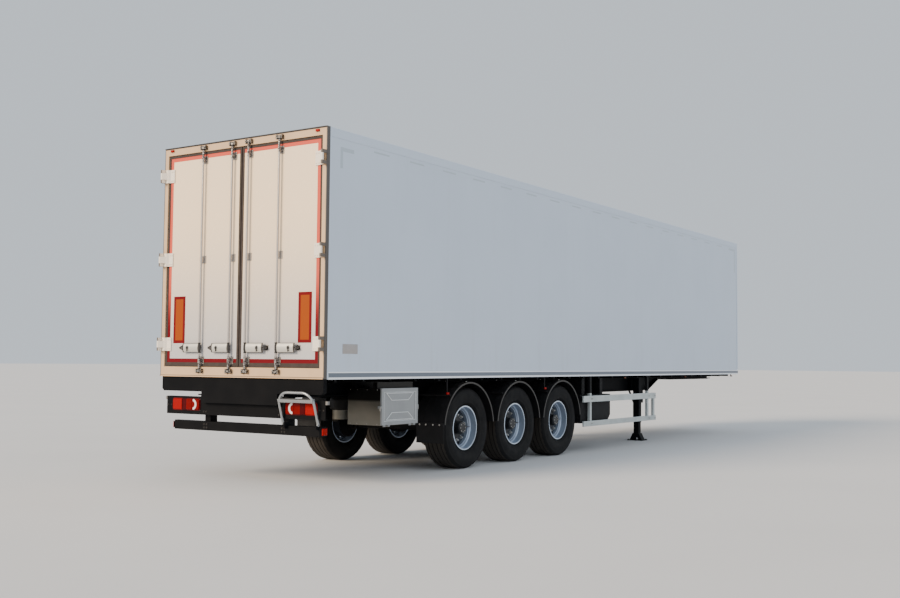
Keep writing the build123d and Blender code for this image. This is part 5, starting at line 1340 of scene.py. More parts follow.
class Draft:
    """A mesh under construction, in the trailer's frame."""

    washer_share = 0.2
    washer_rings = ((0, 1.35), (1, 1.3))
    washer_sides = 12
    head_rings = ((0, 1.0), (0.85, 1.0), (1, 0.86))
    head_sides = 6
    dome_height = 0.6
    dome_rings = ((0, 1.0), (0.6, 0.8), (1, 0.35))
    dome_sides = 8

    def __init__(self, name: str) -> None:
        """Start an empty mesh."""
        self.name = name
        self.mesh = bmesh.new()

    def faces(self, corners: Sequence[Point], loops: Iterable[Sequence[int]]) -> None:
        """Add corners and the faces between them.

        Args:
            corners: Places of the corners.
            loops: Numbers of each face's corners.
        """
        made = [self.mesh.verts.new(corner) for corner in corners]
        for loop in loops:
            self.mesh.faces.new([made[index] for index in loop])

    def slab(self, low: Point, high: Point, bevel: float = 0.0) -> None:
        """Add a rectangular solid with softened edges.

        Args:
            low: Lowest corner.
            high: Highest corner.
            bevel: Width of its softened edges.
        """
        middle = (Vector(low) + Vector(high)) / 2
        size = Vector(high) - Vector(low)
        place = Matrix.Translation(middle) @ Matrix.Diagonal((*size, 1.0))
        made = bmesh.ops.create_cube(self.mesh, size=1.0, matrix=place)
        if bevel:
            edges = list(dict.fromkeys(edge for vert in made["verts"] for edge in vert.link_edges))
            bmesh.ops.bevel(
                self.mesh, geom=edges, offset=bevel, segments=2, profile=0.5, affect="EDGES"
            )

    def stack(self, start: Point, end: Point, rings: Rings, sides: int) -> None:
        """Add a turned solid between two points.

        Args:
            start: Middle of its first end.
            end: Middle of its last end.
            rings: Share of the length and radius of each ring.
            sides: Number of facets round it.
        """
        first, last = Vector(start), Vector(end)
        turn = (last - first).to_track_quat("Z", "Y").to_matrix()
        corners = []
        for share, radius in rings:
            middle = first.lerp(last, share)
            for over, up in circle_points(sides, radius):
                corners.append(tuple(middle + turn @ Vector((over, up, 0.0))))
        loops = [tuple(range(sides))[::-1]]
        for ring in range(len(rings) - 1):
            here, there = ring * sides, (ring + 1) * sides
            for index in range(sides):
                after = (index + 1) % sides
                loops.append((here + index, here + after, there + after, there + index))
        top = (len(rings) - 1) * sides
        loops.append(tuple(range(top, top + sides)))
        self.faces(corners, loops)

    def turned(self, start: Vector, end: Vector, shape: Rings, radius: float, sides: int) -> None:
        """Add a turned solid whose rings are given as shares of one radius.

        Args:
            start: Middle of its first end.
            end: Middle of its last end.
            shape: Share of the length and of the radius of each ring.
            radius: The radius.
            sides: Number of facets round it.
        """
        rings = [(share, radius * factor) for share, factor in shape]
        self.stack(tuple(start), tuple(end), rings, sides)

    def bolt(self, at: Point, out: Point, size: BoltSize) -> None:
        """Add a hexagon head on a washer.

        Args:
            at: Place of the washer's middle.
            out: Direction that the head points to.
            size: Size of the head with its washer.
        """
        base, way = Vector(at), Vector(out).normalized()
        washer = base + way * size.height * self.washer_share
        top = base + way * size.height
        self.turned(base, washer, self.washer_rings, size.across / 2, self.washer_sides)
        self.turned(washer, top, self.head_rings, size.across / 2, self.head_sides)

    def rivet(self, at: Point, out: Point, radius: float) -> None:
        """Add a domed rivet head.

        Args:
            at: Place of its middle on the sheet.
            out: Direction that the head points to.
            radius: Radius of the head.
        """
        base, way = Vector(at), Vector(out).normalized()
        top = base + way * radius * self.dome_height
        self.turned(base, top, self.dome_rings, radius, self.dome_sides)

    def mirrored(self) -> None:
        """Add the same geometry on the other side of the trailer."""
        made = bmesh.ops.duplicate(self.mesh, geom=list(self.mesh.faces))
        verts = [item for item in made["geom"] if isinstance(item, bmesh.types.BMVert)]
        faces = [item for item in made["geom"] if isinstance(item, bmesh.types.BMFace)]
        for vert in verts:
            vert.co.y = -vert.co.y
        bmesh.ops.reverse_faces(self.mesh, faces=faces)

    def finish(
        self, body: Body | str, material: bpy.types.Material, angle: float = 35.0
    ) -> bpy.types.Object:
        """Turn the draft into a piece that rides on a body.

        Args:
            body: The body it rides on.
            material: Its finish.
            angle: Edges sharper than this, in degrees, stay crisp.

        Returns:
            The piece.
        """
        bmesh.ops.recalc_face_normals(self.mesh, faces=list(self.mesh.faces))
        mesh = bpy.data.meshes.new(self.name)
        self.mesh.to_mesh(mesh)
        self.mesh.free()
        for polygon in mesh.polygons:
            polygon.use_smooth = True
        mesh.set_sharp_from_angle(angle=math.radians(angle))
        mesh.materials.append(material)
        piece = bpy.data.objects.new(self.name, mesh)
        bpy.context.scene.collection.objects.link(piece)
        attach(piece, body.value if isinstance(body, Body) else body)
        LOG.info("%s: %d faces", self.name, len(mesh.polygons))
        return piece


@dataclass
class Nodes:
    """The CAD nodes and the finish that each one wears."""

    nodes: dict[str, bpy.types.Object]
    palette: Palette

    def look(self, name: str) -> Look:
        """Finish of a node.

        Args:
            name: The node's name.

        Returns:
            The finish, the same for the right and the left.
        """
        if name.startswith("wheel_"):
            return Look(name.rsplit("_", 1)[1])
        return NODE_LOOKS[name.removesuffix("_right").removesuffix("_left")]

    def dress(self) -> None:
        """Give every node its finish."""
        for name, node in self.nodes.items():
            node.data.materials.clear()
            node.data.materials.append(self.palette[self.look(name)])
        LOG.info("%d nodes dressed", len(self.nodes))


@dataclass
class RearDoor:
    """Tape, rubber lip, bolts, rod collars and handle levers of one rear door."""

    side: Side
    palette: Palette
    face: float = REAR_FACE + 0.016
    film: float = 0.0006
    tape_width: float = 0.045
    tape_span: Span = (0.038, 1.200)
    tape_height: Span = (1.375, 3.868)
    lip_inner: float = 0.037
    lip_rise: float = 0.0035
    lip_back: float = REAR_FACE + 0.029
    gap_span: Span = (0.0060, 1.231)
    gap_height: Span = (1.327, 3.899)
    guides: tuple[float, float, float] = (1.400, 2.600, 3.800)
    guide_bolts: Pair = (0.035, 0.036)
    guide_bolt: BoltSize = BoltSize(0.011, 0.006)
    foot_rise: float = 0.005
    handle: float = 1.548
    handle_crown: float = REAR_FACE - 0.034
    catch_reach: float = 0.302
    catch_rivets: Pair = (0.018, 0.024)
    catch_rivet: float = 0.005
    strap_bolts_at: Pair = (1.145, 1.180)
    strap_bolt_rise: float = 0.055
    strap_bolt: BoltSize = BoltSize(0.016, 0.007)
    strap_rise: float = 0.014
    rod_plane: float = REAR_FACE - 0.022
    collars: tuple[Span, ...] = ((1.292, 1.304), (3.916, 3.928), (1.487, 1.4985), (1.5975, 1.609))
    collar_rings: Rings = ((0, 0.0150), (0.2, 0.0164), (0.8, 0.0164), (1, 0.0150))
    collar_sides: int = 24
    lever_reach: float = 0.195
    lever_half: float = 0.006
    lever_span: Span = (-0.044, 0.012)
    lever_rise: float = 0.008
    lever_bevel: float = 0.002
    ring_sunk: float = 0.006
    ring_rise: float = 0.003
    ring_rings: Rings = ((0, 0.026), (0.8, 0.026), (1, 0.024))
    boss_rise: float = 0.0036
    boss_rings: Rings = ((0, 0.019), (1, 0.019))
    ring_sides: int = 28

    def strip(self, draft: Draft, span: Span, height: Span) -> None:
        """Add a strip of tape.

        Args:
            draft: Mesh that takes it.
            span: Distance of its two upright edges from the middle.
            height: Height of its lower and upper edge.
        """
        near, far = sorted(self.side.value * distance for distance in span)
        draft.slab((self.face - self.film, near, height[0]), (self.face, far, height[1]))

    def tape(self) -> None:
        """Lay the contour tape along the door's outer, upper and lower edges."""
        draft = Draft(f"door_tape_{self.side.word}")
        width = self.tape_width
        inner, outer = self.tape_span
        low, high = self.tape_height
        self.strip(draft, (outer - width, outer), (low, high))
        self.strip(draft, (inner, outer - width), (low, low + width))
        self.strip(draft, (inner, outer - width), (high - width, high))
        draft.finish(self.side.door, self.palette[Look.TAPE_RED])

    def outline(self, depth: float, span: Span, height: Span) -> list[Point]:
        """Upright rectangle across the door.

        Args:
            depth: Its X.
            span: Distance of its two upright edges from the middle.
            height: Height of its lower and upper edge.

        Returns:
            Its four corners in turn.
        """
        near, far = (self.side.value * distance for distance in span)
        low, high = height
        return [(depth, near, low), (depth, far, low), (depth, far, high), (depth, near, high)]

    def gasket(self) -> None:
        """Close the gap round the door with the rubber lip clipped on its edges."""
        draft = Draft(f"gasket_{self.side.word}")
        corners = []
        for depth in (self.face - self.lip_rise, self.lip_back):
            corners += self.outline(depth, self.gap_span, self.gap_height)
            corners += self.outline(depth, (self.lip_inner, self.tape_span[1]), self.tape_height)
        loops = []
        for index in range(4):
            after = (index + 1) % 4
            loops.append((index, after, after + 4, index + 4))
            loops.append((index + 8, index + 12, after + 12, after + 8))
            loops.append((index, index + 8, after + 8, after))
            loops.append((index + 4, after + 4, after + 12, index + 12))
        draft.faces(corners, loops)
        draft.finish(self.side.door, self.palette[Look.SEAL])

    def bolts(self) -> None:
        """Bolt the rod guides and rivet the handle catches to the door."""
        draft = Draft(f"door_bolts_{self.side.word}")
        sign = self.side.value
        x = self.face - self.foot_rise
        for rod in ROD_PLACES:
            for z in self.guides:
                for offset, rise in four_corners(*self.guide_bolts):
                    draft.bolt((x, sign * rod + offset, z + rise), BACK, self.guide_bolt)
            catch = rod + self.catch_reach
            for offset, rise in four_corners(*self.catch_rivets):
                at = (x, sign * catch + offset, self.handle + rise)
                draft.rivet(at, BACK, self.catch_rivet)
        draft.finish(self.side.door, self.palette[Look.BOLT])

    def strap_bolts(self) -> None:
        """Bolt the hinge straps to the door, in the straps' own paint."""
        draft = Draft(f"strap_bolts_{self.side.word}")
        x = self.face - self.strap_rise
        rises = (-self.strap_bolt_rise, self.strap_bolt_rise)
        for z, y, rise in product(HINGE_HEIGHTS, self.strap_bolts_at, rises):
            draft.bolt((x, self.side.value * y, z + rise), BACK, self.strap_bolt)
        draft.finish(self.side.door, self.palette[Look.FITTING])

    def rod_collars(self) -> None:
        """Add the collars on the rods, next to the cams and to the handles' hubs."""
        draft = Draft(f"rod_collars_{self.side.word}")
        x = self.rod_plane
        for rod, (low, high) in product(ROD_PLACES, self.collars):
            y = self.side.value * rod
            draft.stack((x, y, low), (x, y, high), self.collar_rings, self.collar_sides)
        draft.finish(self.side.door, self.palette[Look.DARK_BOLT])

    def levers(self) -> None:
        """Set a dark lever in a pale ring into the outer half of each handle's cover."""
        rings = Draft(f"lever_rings_{self.side.word}")
        levers = Draft(f"handle_levers_{self.side.word}")
        crown, z = self.handle_crown, self.handle
        low, high = self.lever_span
        for rod in ROD_PLACES:
            y = self.side.value * (rod + self.lever_reach)
            start, end = (crown + self.ring_sunk, y, z), (crown - self.ring_rise, y, z)
            rings.stack(start, end, self.ring_rings, self.ring_sides)
            start, end = (crown, y, z), (crown - self.boss_rise, y, z)
            levers.stack(start, end, self.boss_rings, self.ring_sides)
            foot = (crown - self.lever_rise, y - self.lever_half, z + low)
            levers.slab(foot, (crown, y + self.lever_half, z + high), self.lever_bevel)
        rings.finish(self.side.door, self.palette[Look.BOLT])
        levers.finish(self.side.door, self.palette[Look.DARK_BOLT])

    def build(self) -> None:
        """Make every piece of this door."""
        self.tape()
        self.gasket()
        self.bolts()
        self.strap_bolts()
        self.rod_collars()
        self.levers()


@dataclass
class DoorFrame:
    """Rivets of the rod keepers and end caps of the hinge pins on the door frame."""

    palette: Palette
    keepers: Pair = (1.275, 3.945)
    keeper_face: float = REAR_FACE - 0.036
    keeper_rivets: Pair = (0.037, 0.012)
    keeper_rivet: float = 0.005
    pin: Pair = (REAR_FACE - 0.062, 1.282)
    cap_reach: Span = (0.0768, 0.080)
    cap_rings: Rings = ((0, 0.013), (1, 0.010))
    cap_sides: int = 20

    def build(self) -> None:
        """Make the rivets and caps."""
        draft = Draft("frame_bolts")
        for rod, z in product(ROD_PLACES, self.keepers):
            for offset, rise in four_corners(*self.keeper_rivets):
                draft.rivet((self.keeper_face, rod + offset, z + rise), BACK, self.keeper_rivet)
        near, far = self.cap_reach
        for z, way in product(HINGE_HEIGHTS, (-1, 1)):
            start, end = (*self.pin, z + way * near), (*self.pin, z + way * far)
            draft.stack(start, end, self.cap_rings, self.cap_sides)
        draft.mirrored()
        draft.finish(Body.TRAILER, self.palette[Look.BOLT])


@dataclass
class SideSkin:
    """Tape corners, rivets and the blank plate on the side walls, by distance from the rear."""

    palette: Palette
    skin: float = 1.294
    film: float = 0.0006
    corner_tapes: tuple[tuple[Span, Span], ...] = (
        ((0.238, 0.283), (3.565, 3.803)),
        ((0.283, 0.480), (3.758, 3.803)),
        ((13.080, 13.460), (3.812, 3.857)),
        ((13.415, 13.460), (3.360, 3.812)),
    )
    marks: int = 17
    mark_start: float = 0.85
    mark_pitch: float = 0.72
    mark_length: float = 0.30
    mark_height: Span = (3.836, 3.856)
    plate_span: Span = (0.320, 0.590)
    plate_height: Span = (1.486, 1.595)
    plate_rise: float = 0.003
    plate_bevel: float = 0.0012
    plate_rivets_x: Pair = (0.335, 0.575)
    plate_rivets_z: Pair = (1.500, 1.581)
    plate_rivet: float = 0.004
    rail_rivets: int = 88
    rail_start: float = 0.16
    rail_pitch: float = 0.152
    rail_face: float = 1.2968
    rail_row: float = 1.262
    rail_rivet: float = 0.0050

    def on_skin(self, draft: Draft, span: Span, height: Span, rise: float, bevel: float) -> None:
        """Add a flat rectangle on the right-hand skin.

        Args:
            draft: Mesh that takes it.
            span: Its ends.
            height: Its lower and upper edges.
            rise: Its thickness.
            bevel: Width of its softened edges.
        """
        low = (REAR_FACE + span[0], -self.skin - rise, height[0])
        draft.slab(low, (REAR_FACE + span[1], -self.skin, height[1]), bevel)

    def tape(self) -> None:
        """Lay the white corner tapes and the short marks under the roof edge."""
        draft = Draft("side_tape")
        strips = list(self.corner_tapes)
        for index in range(self.marks):
            start = self.mark_start + self.mark_pitch * index
            strips.append(((start, start + self.mark_length), self.mark_height))
        for span, height in strips:
            self.on_skin(draft, span, height, self.film, 0.0)
        draft.mirrored()
        draft.finish(Body.TRAILER, self.palette[Look.TAPE_WHITE])

    def plate(self) -> None:
        """Fix the small blank plate near the rear of the right-hand side."""
        draft = Draft("blank_plate")
        self.on_skin(draft, self.plate_span, self.plate_height, self.plate_rise, self.plate_bevel)
        y = -self.skin - self.plate_rise
        for x, z in product(self.plate_rivets_x, self.plate_rivets_z):
            draft.rivet((REAR_FACE + x, y, z), RIGHT, self.plate_rivet)
        draft.finish(Body.TRAILER, self.palette[Look.PLATE])

    def rivets(self) -> None:
        """Rivet the base rail to the skin."""
        draft = Draft("rail_rivets")
        for index in range(self.rail_rivets):
            x = REAR_FACE + self.rail_start + self.rail_pitch * index
            draft.rivet((x, -self.rail_face, self.rail_row), RIGHT, self.rail_rivet)
        draft.mirrored()
        draft.finish(Body.TRAILER, self.palette[Look.EDGE])

    def build(self) -> None:
        """Make every piece of the sides."""
        self.tape()
        self.plate()
        self.rivets()


@dataclass
class RearBars:
    """Bolts and plate lamps of the rear bars, and the ribs of the folding step."""

    palette: Palette
    carrier: float = REAR_FACE + 0.085
    carrier_bolts_y: Pair = (0.62, 0.58)
    carrier_bolts_z: Pair = (0.79, 0.93)
    lamp_bolts_y: Pair = (1.18, 1.235)
    lamp_bolts_z: float = 0.86
    lamp_bolt: BoltSize = BoltSize(0.016, 0.008)
    bar: float = REAR_FACE + 0.115
    bar_bolts_y: Pair = (0.60, 0.64)
    bar_bolts_z: Pair = (0.60, 0.64)
    bar_bolt: BoltSize = BoltSize(0.020, 0.009)
    plate_lamps_y: Pair = (-0.20, 0.20)
    plate_lamp_half: float = 0.045
    plate_lamp_height: Span = (0.915, 0.945)
    plate_lamp_depth: float = 0.030
    plate_lamp_bevel: float = 0.006
    step_pivot: Point = (REAR_FACE + 0.080, 0.0, 0.700)
    step_lean: Pair = (0.110, 0.350)
    tread_reach: float = 0.2565
    ribs: int = 20
    rib_start: float = -1.140
    rib_pitch: float = 0.0247
    rib_rows: tuple[float, float, float] = (-0.012, 0.0, 0.012)
    rib_half: float = 0.004
    rib_rings: Rings = ((0, 0.003), (0.5, 0.004), (1, 0.003))
    rib_sides: int = 6

    def bolts(self) -> None:
        """Bolt the lamp carrier and the underrun bar."""
        draft = Draft("bar_bolts")
        for y, z in product(self.carrier_bolts_y, self.carrier_bolts_z):
            draft.bolt((self.carrier, y, z), BACK, self.bar_bolt)
        for y in self.lamp_bolts_y:
            draft.bolt((self.carrier, y, self.lamp_bolts_z), BACK, self.lamp_bolt)
        for y, z in product(self.bar_bolts_y, self.bar_bolts_z):
            draft.bolt((self.bar, y, z), BACK, self.bar_bolt)
        draft.mirrored()
        draft.finish(Body.TRAILER, self.palette[Look.DARK_BOLT])

    def plate_lamps(self) -> None:
        """Make the two small lamp housings over the place of the blank plate."""
        draft = Draft("plate_lamps")
        low, high = self.plate_lamp_height
        for y in self.plate_lamps_y:
            start = (self.carrier - self.plate_lamp_depth, y - self.plate_lamp_half, low)
            draft.slab(start, (self.carrier, y + self.plate_lamp_half, high), self.plate_lamp_bevel)
        draft.finish(Body.TRAILER, self.palette[Look.DARK_BOLT])

    def tread_ribs(self) -> None:
        """Put the serrated strip on the folding step's tread."""
        draft = Draft("step_ribs")
        pivot = Vector(self.step_pivot)
        turn = Matrix.Rotation(-math.atan2(*self.step_lean), 3, "Y")
        for index, row in product(range(self.ribs), self.rib_rows):
            y = self.rib_start + self.rib_pitch * index
            start = pivot + turn @ Vector((row - self.rib_half, y, self.tread_reach))
            end = pivot + turn @ Vector((row + self.rib_half, y, self.tread_reach))
            draft.stack(tuple(start), tuple(end), self.rib_rings, self.rib_sides)
        draft.finish(Body.STEP, self.palette[Look.ZINC])

    def build(self) -> None:
        """Make every piece of the rear bars."""
        self.bolts()
        self.plate_lamps()
        self.tread_ribs()


@dataclass
class Wheel:
    """Tyre, nuts and valve of one wheel."""

    index: int
    side: Side
    palette: Palette
    segments: int = 120
    crease: float = 50.0
    half_section: tuple[Pair, ...] = (
        (0.2863, 0.133), (0.301, 0.134), (0.312, 0.149), (0.330, 0.171), (0.338, 0.1765),
        (0.345, 0.1758), (0.370, 0.1845), (0.395, 0.1905), (0.420, 0.1920), (0.448, 0.1905),
        (0.475, 0.1860), (0.497, 0.1795), (0.503, 0.1805), (0.508, 0.1760), (0.520, 0.1660),
        (0.5285, 0.1550), (0.5335, 0.1440), (0.5352, 0.1360),
    )
    tread_radius: float = 0.5354
    grooves: tuple[float, ...] = (-0.098, -0.036, 0.036, 0.098)
    groove_half: float = 0.006
    groove_floor: float = 0.6
    groove_depth: float = 0.013
    notch_every: int = 3
    notch_depth: float = 0.006
    notch_span: Span = (0.142, 0.168)
    notch_radius: float = 0.515
    disc: float = 0.014
    nuts: int = 10
    nut_circle: float = 0.1675
    nut: BoltSize = BoltSize(0.036, 0.022)
    stud_span: Span = (0.020, 0.034)
    stud_rings: Rings = ((0, 0.011), (0.8, 0.011), (1, 0.008))
    cap_bolts: int = 8
    cap_circle: float = 0.058
    cap_face: float = 0.118
    cap_bolt: BoltSize = BoltSize(0.013, 0.006)
    valve_foot: Pair = (0.232, 0.004)
    valve_tip: Pair = (0.236, 0.075)
    valve_rings: Rings = ((0, 0.006), (0.7, 0.005), (0.75, 0.0065), (1, 0.006))
    pin_sides: int = 10

    @property
    def body(self) -> str:
        """Name of the wheel's body."""
        return f"wheel_{self.index}_{self.side.word}"

    @property
    def centre(self) -> Vector:
        """Middle of the wheel."""
        return Vector((AXLES[self.index - 1], self.side.value * WHEEL_PLANE, WHEEL_HEIGHT))

    def profile(self) -> list[Pair]:
        """Radius and outward distance round the tyre's section.

        Returns:
            The closed section, inner bead first.
        """
        wide, floor = self.groove_half, self.groove_half * self.groove_floor
        top, low = self.tread_radius, self.tread_radius - self.groove_depth
        tread = []
        for middle in self.grooves[::-1]:
            tread += [(top, middle + wide), (low, middle + floor)]
            tread += [(low, middle - floor), (top, middle - wide)]
        other = [(radius, -out) for radius, out in reversed(self.half_section)]
        return [*self.half_section, *tread, *other]

    def notch(self, step: int, radius: float, out: float) -> float:
        """Depth of the shoulder's notch at a corner of the tyre.

        Args:
            step: Number of the section round the tyre.
            radius: Radius of the corner.
            out: Its distance from the tyre's middle plane.

        Returns:
            The depth, 0 away from the notches.
        """
        low, high = self.notch_span
        notched = step % self.notch_every == 0 and low < abs(out) < high
        return self.notch_depth if notched and radius > self.notch_radius else 0.0

    def tyre(self) -> None:
        """Turn the tyre, with tread grooves and notched shoulders."""
        draft = Draft(f"tyre_{self.body}")
        profile = self.profile()
        centre = self.centre
        corners = []
        for step, (along, up) in enumerate(circle_points(self.segments, 1.0)):
            for radius, out in profile:
                reach = radius - self.notch(step, radius, out)
                corners.append((centre.x + reach * along, centre.y + out, centre.z + reach * up))
        count = len(profile)
        loops = []
        for step in range(self.segments):
            here, there = step * count, (step + 1) % self.segments * count
            for index in range(count):
                after = (index + 1) % count
                loops.append((here + index, here + after, there + after, there + index))
        draft.faces(corners, loops)
        piece = draft.finish(self.body, self.palette[Look.TYRE], self.crease)
        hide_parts(f"{self.body}_tyre")

    def from_centre(self, ahead: float, out: float, up: float = 0.0) -> Point:
        """Place near the wheel.

        Args:
            ahead: Distance forward of the wheel's middle.
            out: Distance towards the trailer's outside.
            up: Distance above the wheel's middle.

        Returns:
            The place in the trailer's frame.
        """
        centre = self.centre
        return (centre.x + ahead, centre.y + self.side.value * out, centre.z + up)

    def fasteners(self) -> None:
        """Add the wheel nuts, the hub cap's bolts and the valve."""
        draft = Draft(f"nuts_{self.body}")
        way = LEFT if self.side is Side.LEFT else RIGHT
        for ahead, up in circle_points(self.nuts, self.nut_circle, 0.5):
            draft.bolt(self.from_centre(ahead, self.disc, up), way, self.nut)
            start, end = (self.from_centre(ahead, self.disc + out, up) for out in self.stud_span)
            draft.stack(start, end, self.stud_rings, self.pin_sides)
        for ahead, up in circle_points(self.cap_bolts, self.cap_circle):
            draft.bolt(self.from_centre(ahead, self.cap_face, up), way, self.cap_bolt)
        start, end = self.from_centre(*self.valve_foot), self.from_centre(*self.valve_tip)
        draft.stack(start, end, self.valve_rings, self.pin_sides)
        draft.finish(self.body, self.palette[Look.BOLT])

    def build(self) -> None:
        """Make every piece of this wheel."""
        self.tyre()
        self.fasteners()


@dataclass
class RunningGear:
    """Nuts of the suspension, rings of the bellows and bolts of the mudguards."""

    palette: Palette
    arm_plane: float = 0.65
    clamp_nuts: Pair = (0.077, 0.038)
    clamp_top: float = 0.6553
    clamp_nut: BoltSize = BoltSize(0.034, 0.020)
    pivot_ahead: float = 0.5
    pivot_at: Pair = (0.730, 0.6535)
    pivot_bolt: BoltSize = BoltSize(0.050, 0.018)
    spring_behind: float = 0.38
    rings_at: tuple[Pair, Pair] = ((0.758, 0.140), (0.882, 0.134))
    ring_height: float = 0.012
    ring_bulge: float = 0.006
    ring_sides: int = 40
    guard_angles: tuple[float, float, float] = (45, 90, 135)
    guard_bolts_y: Pair = (0.86, 1.18)
    guard_radius: float = 0.608
    guard_bolt: BoltSize = BoltSize(0.018, 0.009)
    flap_behind: float = 0.014
    flap_bolts_y: tuple[float, ...] = (0.87, 0.97, 1.08, 1.18)
    flap_bolts_z: float = 0.598

    def nuts(self) -> None:
        """Put the nuts on the axle clamps and the bolts through the arms' pivots."""
        draft = Draft("suspension_nuts")
        for x in AXLES:
            for along, across in four_corners(*self.clamp_nuts):
                at = (x + along, self.arm_plane + across, self.clamp_top)
                draft.bolt(at, UP, self.clamp_nut)
            draft.bolt((x + self.pivot_ahead, *self.pivot_at), LEFT, self.pivot_bolt)
        draft.mirrored()
        draft.finish(Body.TRAILER, self.palette[Look.DARK_BOLT])

    def rings(self) -> None:
        """Ring the bellows of the air springs at their foot and top."""
        draft = Draft("bellows_rings")
        for x, (low, radius) in product(AXLES, self.rings_at):
            shape = ((0, radius), (0.5, radius + self.ring_bulge), (1, radius))
            start = (x - self.spring_behind, self.arm_plane, low)
            end = (x - self.spring_behind, self.arm_plane, low + self.ring_height)
            draft.stack(start, end, shape, self.ring_sides)
        draft.mirrored()
        draft.finish(Body.TRAILER, self.palette[Look.BELLOWS])

    def guards(self) -> None:
        """Bolt the mudguards to their stays and the flap to the rear one."""
        draft = Draft("guard_bolts")
        for x, angle in product(AXLES, self.guard_angles):
            turn = math.radians(angle)
            way = Vector((math.cos(turn), 0.0, math.sin(turn)))
            for y in self.guard_bolts_y:
                at = Vector((x, y, WHEEL_HEIGHT)) + way * self.guard_radius
                draft.bolt(tuple(at), tuple(way), self.guard_bolt)
        flap = AXLES[0] - self.guard_radius - self.flap_behind
        for y in self.flap_bolts_y:
            draft.bolt((flap, y, self.flap_bolts_z), BACK, self.guard_bolt)
        draft.mirrored()
        draft.finish(Body.TRAILER, self.palette[Look.BOLT])

    def build(self) -> None:
        """Make the pieces for every axle on both sides."""
        self.nuts()
        self.rings()
        self.guards()


@dataclass
class Toolbox:
    """Rivets of the toolbox, and latch levers and rounded ridges of its door, the ridges pale as a
    painted highlight.
    """

    palette: Palette
    start: float = REAR_FACE + 1.085
    end: float = REAR_FACE + 1.810
    front: float = -1.277
    lever_gap: float = 0.014
    lever_sheet: float = 0.006
    lever_depth: Span = (0.004, 0.026)
    lever_height: Span = (0.824, 0.878)
    lever_bevel: float = 0.002
    lever_pivot: Pair = (-1.262, 0.866)
    lever_rivet: float = 0.006
    border_inset: float = 0.045
    border_height: Span = (0.701, 1.042)
    border_ridge: Pair = (-1.2740, 0.0030)
    pressing_halves: Pair = (0.273, 0.165)
    upper_pressing: Pair = (1.029, 0.945)
    lower_pressing: Pair = (0.714, 0.798)
    pressing_ridge: Pair = (-1.2725, 0.0045)
    ridge_sides: int = 8
    box_rivets_y: tuple[float, ...] = (-1.20, -1.05, -0.90, -0.80)
    box_rivets_z: Pair = (0.665, 1.067)
    box_rivet: float = 0.005

    def levers(self) -> None:
        """Make the latch levers at both ends of the door."""
        draft = Draft("latch_levers")
        near, far = (self.front + depth for depth in self.lever_depth)
        low, high = self.lever_height
        for x, way, out in ((self.start, -1, BACK), (self.end, 1, FRONT)):
            inner = x + way * self.lever_gap
            outer = inner + way * self.lever_sheet
            ends = sorted((inner, outer))
            draft.slab((ends[0], near, low), (ends[1], far, high), self.lever_bevel)
            draft.rivet((outer, *self.lever_pivot), out, self.lever_rivet)
        draft.finish(Body.TOOLBOX_DOOR, self.palette[Look.BOLT])

    def pressing(self, height: Pair) -> list[Pair]:
        """Outline of one of the door's pressings.

        Args:
            height: Heights of its wide edge and of its narrow one.

        Returns:
            Its four corners in turn, X and Z.
        """
        middle = (self.start + self.end) / 2
        wide, narrow = self.pressing_halves
        return [
            (middle - wide, height[0]), (middle + wide, height[0]),
            (middle + narrow, height[1]), (middle - narrow, height[1]),
        ]

    def ridges(self) -> None:
        """Round off the edges of the door's two pressings and of its raised border, in a pale finish
        that paints their highlight.
        """
        draft = Draft("door_ridges")
        near, far = self.start + self.border_inset, self.end - self.border_inset
        low, high = self.border_height
        border = [(near, low), (far, low), (far, high), (near, high)]
        for loop, (y, radius) in (
            (border, self.border_ridge),
            (self.pressing(self.upper_pressing), self.pressing_ridge),
            (self.pressing(self.lower_pressing), self.pressing_ridge),
        ):
            for index, (x, z) in enumerate(loop):
                after = loop[(index + 1) % 4]
                rings = ((0, radius), (1, radius))
                draft.stack((x, y, z), (after[0], y, after[1]), rings, self.ridge_sides)
        draft.finish(Body.TOOLBOX_DOOR, self.palette[Look.RIDGE_HIGHLIGHT])

    def rivets(self) -> None:
        """Rivet the box's two ends."""
        draft = Draft("box_rivets")
        for y, z in product(self.box_rivets_y, self.box_rivets_z):
            draft.rivet((self.start + self.box_rivet, y, z), BACK, self.box_rivet)
            draft.rivet((self.end - self.box_rivet, y, z), FRONT, self.box_rivet)
        draft.finish(Body.TRAILER, self.palette[Look.BOLT])

    def build(self) -> None:
        """Make every piece of the toolbox."""
        self.levers()
        self.ridges()
        self.rivets()


